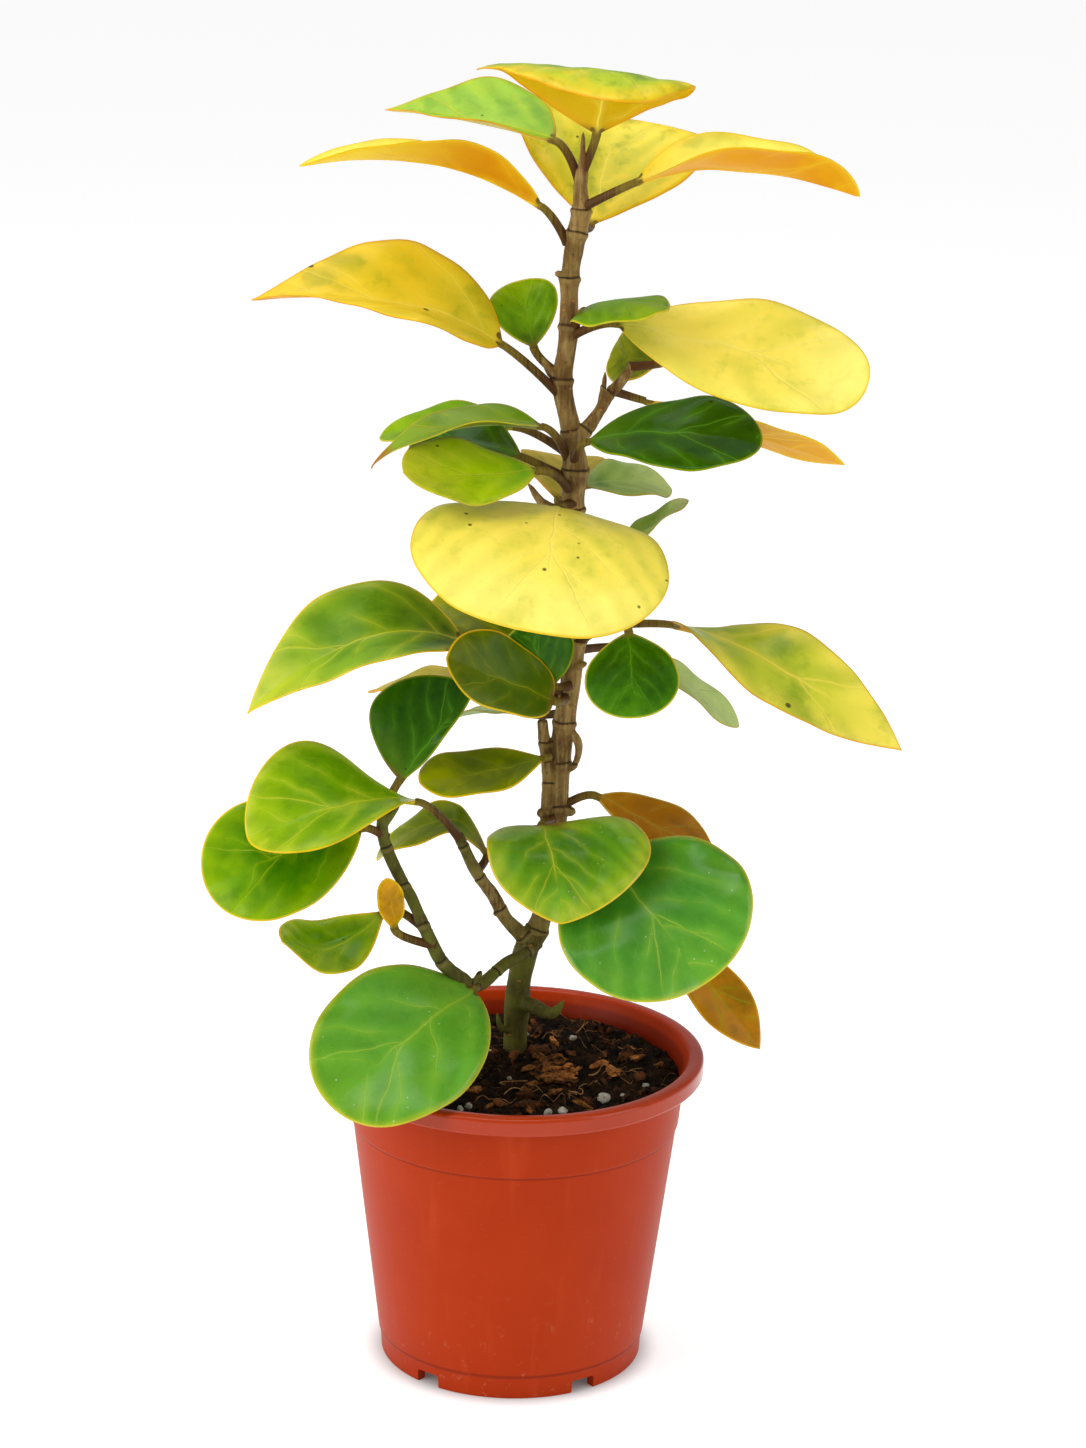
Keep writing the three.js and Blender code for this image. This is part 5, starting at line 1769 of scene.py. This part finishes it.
    def laid(self, name: str, kind: Chip, spots: list[tuple[float, float, float]]) -> Piece:
        """Lays bits at given places, each turned its own way.

        Args:
            name: Name of the object.
            kind: Kind of bit.
            spots: Place to the right and to the back and size of each bit.

        Returns:
            The object.
        """
        shape = Scatter(name, kind, 0.0, 0.0, 0.0, 0.0, self.seed)
        random = np.random.default_rng(self.seed + len(spots))
        points: list[np.ndarray] = []
        faces: Faces = []
        tints: list[np.ndarray] = []
        for number, (x, y, size) in enumerate(spots):
            bit, sides = shape.lump(random, number)
            turn, lean = random.uniform(-1.2, 1.2), random.uniform(-0.25, 0.25)
            spin = np.array(Matrix.Rotation(turn, 3, "Z") @ Matrix.Rotation(lean, 3, "Y"))
            height = self.height(np.array([x]), np.array([y]))[0] + self.bit_lift + size * 0.08
            start = sum(len(group) for group in points)
            points.append(bit @ spin.T * size + np.array([x, y, height]))
            faces += [tuple(start + corner for corner in side) for side in sides]
            tints.append(np.full(len(bit), random.random()))
        piece = new_object(name, np.vstack(points), faces, smooth=kind is not Chip.COIR)
        store(piece, "bit_tint", np.concatenate(tints))
        return piece

    @staticmethod
    def peat_material() -> Material:
        """Builds the dark damp peat.

        Returns:
            The finished material.
        """
        recipe = Recipe("peat")
        place = recipe.object_place()
        clouds = recipe.noise(place, 160.0, 4.0, 0.6)
        fine = recipe.noise(place, 900.0, 4.0, 0.7)
        colour = recipe.mix(clouds.step(0.4, 0.65), srgb(14, 9, 5), srgb(54, 33, 17))
        colour = recipe.mix(fine.step(0.58, 0.74) * 0.5, colour, srgb(120, 76, 40))
        colour = recipe.mix(fine.step(0.46, 0.32) * 0.8, colour, srgb(8, 5, 3))
        relief = fine * 0.7 + clouds * 0.5
        return recipe.finish(colour, 0.86 + fine * 0.1, relief, 0.0014, Specular_IOR_Level=0.1)

    @staticmethod
    def bit_material() -> dict[Chip, Material]:
        """Builds the materials of the loose bits.

        Returns:
            A material for each kind.
        """
        shades = {
            Chip.BARK: (srgb(12, 7, 3), srgb(134, 78, 38), 0.75),
            Chip.COIR: (srgb(24, 11, 3), srgb(214, 136, 70), 0.8),
            Chip.PERLITE: (srgb(128, 122, 112), srgb(220, 214, 202), 0.8),
            Chip.CRUMB: (srgb(7, 4, 2), srgb(62, 38, 20), 0.9),
            Chip.FIBRE: (srgb(92, 54, 26), srgb(206, 154, 98), 0.75),
        }
        made = {}
        for kind, (dark, light, roughness) in shades.items():
            recipe = Recipe(f"mix {kind.value}")
            place = recipe.object_place()
            tint = recipe.attribute("bit_tint")
            clouds = recipe.noise(place, 240.0, 3.0, 0.6)
            fine = recipe.noise(place, 1500.0, 3.0, 0.6)
            share = (tint * 0.5 + (clouds - 0.5) * 2.4 + 0.15).least(1.0).largest(0.0)
            colour = recipe.mix(share, dark, light)
            colour = recipe.mix(fine.step(0.5, 0.36) * 0.6, colour, dark)
            roughness = roughness + fine * 0.1
            made[kind] = recipe.finish(colour, roughness, fine, 0.0005, Specular_IOR_Level=0.12)
        return made


@dataclass(frozen=True)
class Lamp:
    """One soft area light."""

    name: str
    place: Point
    target: Point
    size: tuple[float, float]
    power: float
    colour: Colour = (1.0, 1.0, 1.0)

    def build(self) -> None:
        """Adds the light, aimed at its target. Places are in metres."""
        light = bpy.data.lights.new(self.name, "AREA")
        light.shape = "RECTANGLE"
        light.size, light.size_y = self.size
        light.energy = self.power
        light.color = self.colour
        lamp = bpy.data.objects.new(self.name, light)
        lamp.location = self.place
        aim = Vector(self.target) - Vector(self.place)
        lamp.rotation_euler = aim.to_track_quat("-Z", "Y").to_euler()
        bpy.context.scene.collection.objects.link(lamp)


@dataclass
class Studio:
    """Pale floor, soft light and the camera at the photograph's angle."""

    camera_x: float = -3.7
    camera_y: float = -1200.0
    camera_z: float = 566.0
    pitch: float = 16.5
    roll: float = 1.24
    focal_pixels: float = 4016.0
    frame_height: int = 1448
    sensor: float = 36.0

    def build(self) -> None:
        """Adds the floor, lights, world and camera."""
        self.floor()
        self.world()
        for lamp in (
            Lamp("left softbox", (-1.25, -0.7, 0.9), (0.0, 0.0, 0.22), (0.9, 1.3), 14.0, (1.0, 0.99, 0.97)),
            Lamp("right softbox", (1.3, -0.65, 0.8), (0.0, 0.0, 0.22), (0.9, 1.2), 7.0, (0.98, 0.99, 1.0)),
            Lamp("top softbox", (-0.1, 0.1, 1.6), (0.0, 0.0, 0.22), (1.1, 1.1), 12.0),
        ):
            lamp.build()
        self.camera()
        settings = bpy.context.scene.view_settings
        settings.view_transform = "Standard"
        settings.look = "None"

    def floor(self) -> None:
        """Adds a wide pale floor that glows evenly, with a painted shadow where its glow is dimmed beneath
        the pot.
        """
        mesh = bpy.data.meshes.new("floor")
        mesh.from_pydata([(-12, -6, 0), (12, -6, 0), (12, 30, 0), (-12, 30, 0)], [], [(0, 1, 2, 3)])
        floor = bpy.data.objects.new("floor", mesh)
        bpy.context.scene.collection.objects.link(floor)
        recipe = Recipe("floor")
        clouds = recipe.noise(recipe.object_place(), 3.0, 2.0)
        colour = recipe.mix(clouds, (0.55, 0.55, 0.55), (0.57, 0.57, 0.57))
        x, y, _ = recipe.split(recipe.object_place())
        x = x - PLANT_SHIFT_X * MM
        reach = (x * x + y * y) ** 0.5
        # Painted shadow: the floor's glow drops to a tenth beneath the pot's foot.
        glow_with_painted_shadow = recipe.mix(reach.step(0.038, 0.05), (0.1, 0.1, 0.1), (1.0, 1.0, 1.0))
        finish = recipe.finish(colour, 0.6, None, 0.0, Specular_IOR_Level=0.1, Emission_Color=glow_with_painted_shadow,
                               Emission_Strength=0.72)
        floor.data.materials.append(finish)

    @staticmethod
    def world() -> None:
        """Gives the surroundings an even pale light."""
        world = bpy.data.worlds.new("studio")
        world.use_nodes = True
        background = world.node_tree.nodes["Background"]
        background.inputs["Color"].default_value = (1.0, 1.0, 1.0, 1.0)
        background.inputs["Strength"].default_value = 0.38
        bpy.context.scene.world = world

    def camera(self) -> None:
        """Adds the camera."""
        data = bpy.data.cameras.new("camera")
        data.sensor_fit = "AUTO"
        data.sensor_width = self.sensor
        data.lens = self.focal_pixels * self.sensor / self.frame_height
        data.clip_start = 0.05
        data.clip_end = 60.0
        camera = bpy.data.objects.new("camera", data)
        place = Vector((self.camera_x, self.camera_y, self.camera_z)) * MM
        tilt = Matrix.Rotation(math.radians(90 - self.pitch), 4, "X")
        roll = Matrix.Rotation(math.radians(self.roll), 4, "Z")
        camera.matrix_world = Matrix.Translation(place) @ tilt @ roll
        bpy.context.scene.collection.objects.link(camera)
        bpy.context.scene.camera = camera


TRUNK = [
    (-0.5, 14, 70, 3.4), (-0.5, 14, 86, 3.8), (-0.5, 13, 100, 3.8), (0, 13, 113, 4.2),
    (0.5, 12, 121, 3.8), (2.5, 11, 132, 4), (6.5, 10, 141, 3.4), (9.5, 9, 156, 3),
    (11.5, 8, 175, 2.9), (12, 8, 195, 3.2), (13, 7, 209, 3.4), (14.5, 7, 221, 3.2),
    (15.5, 6, 236, 3.4), (15, 6, 259, 3.2), (14, 6, 278, 3.4), (14.5, 5, 291, 3.8),
    (13, 5, 303, 3), (10, 5, 317, 3), (11.5, 4, 333, 2.9), (11.5, 4, 351, 2.8),
    (13.5, 3, 365, 2.9), (14.5, 3, 372, 2.7), (14, 3, 378, 2.2), (14.5, 3, 383, 1.9),
]
STONES = [
    (2, 27.9, 4.2), (28, -25.7, 4.6), (-16.9, -35.8, 2.6), (-14.2, -35.7, 2.6), (10.5, -40, 3),
    (15, -38.1, 3), (41.4, -13.9, 2.2), (18.3, 26.1, 2.6), (-24, -30, 2.4), (34, -20, 1.8), (-2, -12, 1.6),
]
COIR_BITS = [
    (7, 25, 4.4), (12, 20, 4.2), (31, -4, 6), (26, 2, 5), (39, 8, 4.6), (36, 16, 4.2), (46, 2, 3.6),
    (22, -31, 5), (-8, -33, 4.6), (-12, -20, 4.4), (4, -36, 4.4), (28, 12, 3.8),
]
TWIGS = [
    (37, 17, 9), (22, 31, 12), (-6, -34, 13), (20, -26, 12), (30, -10, 14), (13, 24, 10), (-18, -24, 10),
    (30, 22, 9), (2, -26, 11), (36, -6, 9), (12, -32, 9), (24, -18, 8),
]
SCARS = [139, 157, 181, 195.5, 209, 236, 258.5, 278, 290.5, 302.5, 318.5, 335.5, 350, 364, 371]
BRANCHES = [
    [
        (6.5, 9, 135, 1.8), (2, 4, 133, 1.9), (-4, 0, 131, 1.9), (-12.5, -10, 127, 2),
        (-17.5, -14, 131, 2.1), (-23.5, -17, 137, 2.2), (-28, -18, 146, 2.1), (-32.5, -17, 156, 1.9),
        (-39, -15, 168, 1.9), (-42.5, -14, 177, 1.9), (-43, -13, 185, 1.7),
    ],
    [
        (4, 10, 133, 2.6), (0, 8, 139, 2.4), (-4.5, 5, 145, 2.2), (-8.5, 3, 153, 2.1), (-14, 0, 162, 1.9),
        (-19.5, -4, 175, 1.7),
    ],
    [
        (11, 9, 171, 1.9), (8, 8.5, 176, 1.9), (8, 8, 184, 1.8), (8, 7, 192, 1.8), (7, 7, 201, 1.8),
        (6, 6, 210, 1.7),
    ],
    [
        (14, 5, 299, 2.4), (18, 5, 304, 2.2), (22, 6, 310, 1.9), (24.5, 8, 314, 1.8), (28, 8, 318, 1.6),
        (31.5, 9, 323, 1.4),
    ],
]
SPURS = [
    [(11, 3, 351, 1.8), (7, -0.5, 352.5, 0.9)],
    [(16, 4, 228, 1.7), (19.5, 2, 230, 0.9)],
    [(16.5, 4, 236, 1.8), (20.5, 2, 238.5, 1)],
    [(10, 5, 318, 1.6), (6.5, 4, 321, 1.5), (3.5, 4, 326, 0.6)],
    [(12, 5, 277, 1.7), (5, 2, 280.5, 1.4), (0, 0, 287.5, 0.7)],
    [(1, 12, 113, 2.2), (5, 8, 114, 2.4), (11, 4, 113, 2), (15, 3, 118, 0.7)],
    [(-1, 12, 104, 1.6), (-5, 9, 106, 1.2), (-6.5, 9, 111, 0.6)],
    [(-13, -10, 128, 1.6), (-11.5, -12, 133, 0.7)],
    [(-18, -14, 130.5, 1.5), (-20, -15, 134, 0.7)],
    [(-42.5, -13.5, 181, 1.5), (-37.5, -14, 187.5, 0.7)],
    [(14.5, 3, 381, 1.6), (14.5, 2, 389, 1), (14.5, 2, 395, 0.5)],
    [(22, 6, 310, 1.5), (23, 4, 322, 0.5)],
    [(-5.5, 5, 146, 1.7), (-8, 2, 147.5, 0.8)],
    [(13, 7, 209, 1.6), (17.5, 4.5, 203, 1.3), (16.5, 5, 196, 1), (12.5, 8, 192, 0.9)],
    [(11, 8, 180, 2.5), (5, 5, 179.5, 1.5)],
    [(11.5, 8, 181, 2.4), (17, 5, 180, 1.3)],
]
LEAVES = [
    Leaf("crown", (14.6, 2.8, 382.7), (18.5, 1, 394.5), (20, -46, 411), (0.12, -0.1, 1), 64, "crown",
         widest=0.62, end=0.5, arch=13.2, crest=0.5, trough=(0, 0), skew=0.18, wave=2, waves=1.4),
    Leaf("upper_left_pale", (13.5, 4, 380), (6, 6, 391.5), (-45.5, 22, 397.5), (0, -0.35, 1), 36, "fresh",
         widest=0.38, foot=0.7, end=1.3, arch=2, trough=(30, 16), skew=0.15),
    Leaf("upper_left_orange", (10, 4, 362), (2.5, 0, 372.5), (-69.5, -12, 385), (0, 0.1, 1), 29, "orange",
         widest=0.43, end=1, arch=7.5, trough=(35, 22), turn=(12, -20)),
    Leaf("upper_back_yellow", (15.5, 6, 366), (17.5, 13, 365), (25.5, 50, 392.5), (0, -1, 0.5), 62,
         "pale yellow", widest=0.75, foot=1, end=0.45, arch=3, trough=(12, 12)),
    Leaf("upper_right_orange", (15.5, 2, 372.5), (30.5, -4, 381), (96.5, -18, 380.5), (0, 0.1, 1), 37,
         "deep orange", end=0.7, arch=6, crest=0.38, trough=(36, 27), turn=(30, -26)),
    Leaf("left_yellow", (8, 4, 315.5), (-8.5, -4, 331), (-83, -20, 346), (0, -0.15, 1), 52, "amber",
         widest=0.38, end=1.2, arch=7, trough=(12, 32), turn=(-15, 15)),
    Leaf("left_small_round", (8, 5, 321), (1, 8, 328), (-4, 16, 347), (0, -1, 0.2), 21.5, "small green",
         widest=0.68, end=0.5, arch=2, bump=0.3),
    Leaf("right_small_wavy", (13.5, 2, 336.5), (16, -4, 342), (37.5, -30, 346.5), (0, -0.3, 1), 28,
         "small green", widest=0.5, foot=0.4, end=0.5, arch=3, trough=(-8, -8)),
    Leaf("right_yellow", (13, 3, 333), (26, -6, 338.5), (101, -22, 324.5), (0, -0.8, 1), 41, "yellow",
         end=0.42, arch=1.5, trough=(5, 5)),
    Leaf("right_olive_behind", (31.5, 9, 322.5), (40, 14, 323), (24.5, 30, 321), (0, -1, 0.4), 17,
         "olive gold", widest=0.65, end=0.5, arch=1),
    Leaf("right_dark", (14, 3, 294), (18, -6, 302), (70, -22, 305.5), (0, -0.5, 1), 36, "dark", widest=0.62,
         end=0.5, skew=0.09),
    Leaf("right_far_bronze", (25.5, 8, 315), (35.5, 16, 310.5), (99, 30, 288.5), (0, 0.5, 1), 26,
         "far gold", end=0.9, arch=0.5, crest=0.35, trough=(5, 5)),
    Leaf("back_tan", (12, 8, 279.5), (9.5, 16, 278.5), (11.5, 44, 286), (0, -1, 0.6), 28, "tan", widest=0.7,
         arch=3),
    Leaf("back_grey", (15, 8, 284), (17, 16, 283), (44, 34, 280), (0, -0.45, 1), 22, "deep sage", arch=1.5),
    Leaf("right_folded", (17, 7, 259.5), (28, 8, 263.5), (50, 22, 278), (-0.5, -0.25, 1), 11, "folded sage",
         arch=1, trough=(15, 15)),
    Leaf("left_high_back", (11, 7, 296), (-3, 14, 301.5), (-46.5, 30, 294.5), (0, -0.4, 1), 22,
         "small green", arch=3),
    Leaf("left_high_curled", (12, 4, 294.5), (4, -4, 306), (-47, -18, 295), (0, -0.1, 1), 22,
         "curled green", widest=0.3, end=1.2, arch=6.5, crest=0.5, droop=0.6, trough=(20, 20)),
    Leaf("left_high_dark", (12, 5, 288), (-2, -2, 296), (-36.5, 8, 296.5), (0, -0.5, 1), 30, "dark",
         arch=3),
    Leaf("left_high_bright", (12, 2, 286), (3, -10, 293.5), (-37, -29, 296.5), (0, -0.6, 1), 30,
         "bright green", end=0.5, arch=-1.5),
    Leaf("centre_yellow", (13.5, 3, 280.5), (9, -6, 281.5), (5, -62, 256.5), (0.13, -0.4, 0.9), 78,
         "yellow", widest=0.55, foot=0.4, end=0.4, arch=8, trough=(0, 0), skew=0.08),
    Leaf("left_large", (13, 6, 219), (-18.5, 0, 236.5), (-84, -24, 219), (0, -0.35, 1), 42, "yellowing",
         widest=0.33, end=1.05, arch=13, trough=(17, 30)),
    Leaf("left_tan", (13, 9, 216), (-15.5, 16, 221), (-49, 40, 208), (0, -0.15, 1), 18, "tan", arch=2),
    Leaf("branch_dark_up", (-42.8, -13, 184), (-37.6, -13.5, 195.5), (-15, -8.5, 224.5), (-0.2, -0.9, 0.4),
         25, "dark", widest=0.42, foot=0.62, end=0.7, arch=1, skew=-0.75),
    Leaf("centre_olive", (13, 4, 218), (9.2, -6.5, 220), (-23.5, -24, 238), (0, -0.8, 0.6), 25, "olive",
         foot=0.36, end=0.5, arch=0, skew=0.12),
    Leaf("centre_left_olive", (14, 8, 223.5), (-0.5, 12, 232.5), (-29.5, 22, 243.5), (0, -0.6, 0.8), 24,
         "gold bronze", arch=2),
    Leaf("centre_back_dark", (13.5, 1.5, 222.5), (9.3, -1, 223.5), (0, -0.5, 243), (-0.2, -1, 0.3), 25,
         "dark", arch=2),
    Leaf("left_thin", (12.5, 8, 212), (2, 14, 209.5), (-23.5, 36, 201), (0, 0, 1), 12, "sage", arch=2),
    Leaf("left_olive_yellow", (7.5, 6, 197.5), (7, -2, 200.1), (-31.5, -16, 195.6), (0, -0.5, 1), 22,
         "olive gold", end=0.5, arch=-1.5),
    Leaf("branch_bright", (-19.3, -4, 174), (-32, -18, 190), (-83, -38, 183.5), (0, -0.9, 0.8), 41, "lime",
         foot=1.15, end=0.6, arch=9, trough=(25, 8), turn=(45, 0), skew=0.18),
    Leaf("branch_bright_low", (-42.5, -14, 177.5), (-49, -18, 181), (-96, -34, 166), (0, -0.9, 0.6), 40,
         "deep lime", end=0.5),
    Leaf("branch_cupped", (-28.5, -17.5, 147.5), (-42, -14, 152.5), (-72.5, -34, 149), (0, -0.6, 1), 26,
         "lime", arch=-10, crease=(0.3, 1.6, 0.25)),
    Leaf("branch_small_orange", (-27, -18.5, 143.5), (-38.5, -22, 150), (-41, -26, 167.5), (0.3, -1, 0), 9,
         "golden", arch=1),
    Leaf("middle_olive_arched", (-13.5, 0.5, 161.5), (-11, 8, 165.5), (-46, 19, 159), (0, -0.5, 1), 18,
         "olive gold", widest=0.4, foot=0.6, arch=14, crest=0.18),
    Leaf("centre_green", (11, 7, 177.5), (6.5, -4, 178.5), (13.5, -38, 158), (0.15, -1, 0.8), 52,
         "glossy green", widest=0.45, foot=0.4, end=0.7, arch=6, skew=-0.2, crease=(-0.4, 2.2, 0.18)),
    Leaf("right_bronze", (12, 8, 180.5), (23.5, 6, 185.5), (61, 8, 165), (0, -0.6, 0.8), 20, "bronze",
         arch=1),
    Leaf("low_right_large", (11, 7, 168.5), (24, -5, 169.5), (57, -41, 140), (0.1, -0.9, 0.7), 64,
         "blue green", widest=0.55, end=0.45, arch=6),
    Leaf("low_right_bronze", (9.5, 9, 156.5), (43.5, 10, 140.5), (77.5, -4, 105.5), (0, -0.7, 0.7), 18,
         "olive bronze", end=0.9),
    Leaf("low_left_large", (-12.5, -10, 127.2), (-13.5, -15, 127.5), (-56, -58, 104.5), (0, -0.9, 0.7), 51,
         "green", widest=0.55, foot=0.7, end=0.45, arch=5),
    Leaf("right_round_dark", (15, 4.5, 235.5), (32, -10, 243.5), (34, -22, 219.5), (0, -1, 0.4), 29.5,
         "round dark", end=0.5, arch=3),
    Leaf("right_grey", (15.5, 7, 232.5), (36.5, 16, 230), (69, 34, 201.5), (0, -0.6, 1), 14, "sage",
         arch=1),
    Leaf("right_drooping", (16, 7, 239.5), (46.5, 1, 243), (116.5, -20, 210.5), (0, -0.7, 0.8), 34,
         "half yellow", widest=0.38, foot=0.5, end=1, arch=8, crest=0.35, turn=(-60, 0)),
]


class Plant:
    """The whole object, from the pot up to the leaves."""

    def build(self) -> None:
        """Builds every piece and ties it to its CAD node."""
        pot = Pot()
        hand_in(pot.build(), pot.material(), "pot_plastic", "pot")
        for number, (piece, material) in enumerate(Soil().build()):
            nodes = ("soil",) if number == 0 else ()
            hand_in(piece, material, "potting_mix", *nodes)
        stem = Stem(TRUNK, SCARS, BRANCHES, SPURS)
        hand_in(stem.build(), stem.material(), "bark", "stem")
        finishes: dict[str, Material] = {}
        for leaf in LEAVES:
            finish = FINISHES[leaf.finish_name]
            if finish.name not in finishes:
                finishes[finish.name] = finish.material()
            hand_in(leaf.build(), finishes[finish.name], finish.slot, f"leaf_{leaf.name}")


def main() -> None:
    """Builds the object and the studio."""
    logging.basicConfig(level=logging.INFO, format="%(name)s: %(message)s")
    Plant().build()
    Studio().build()
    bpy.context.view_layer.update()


if __name__ == "__main__":
    main()
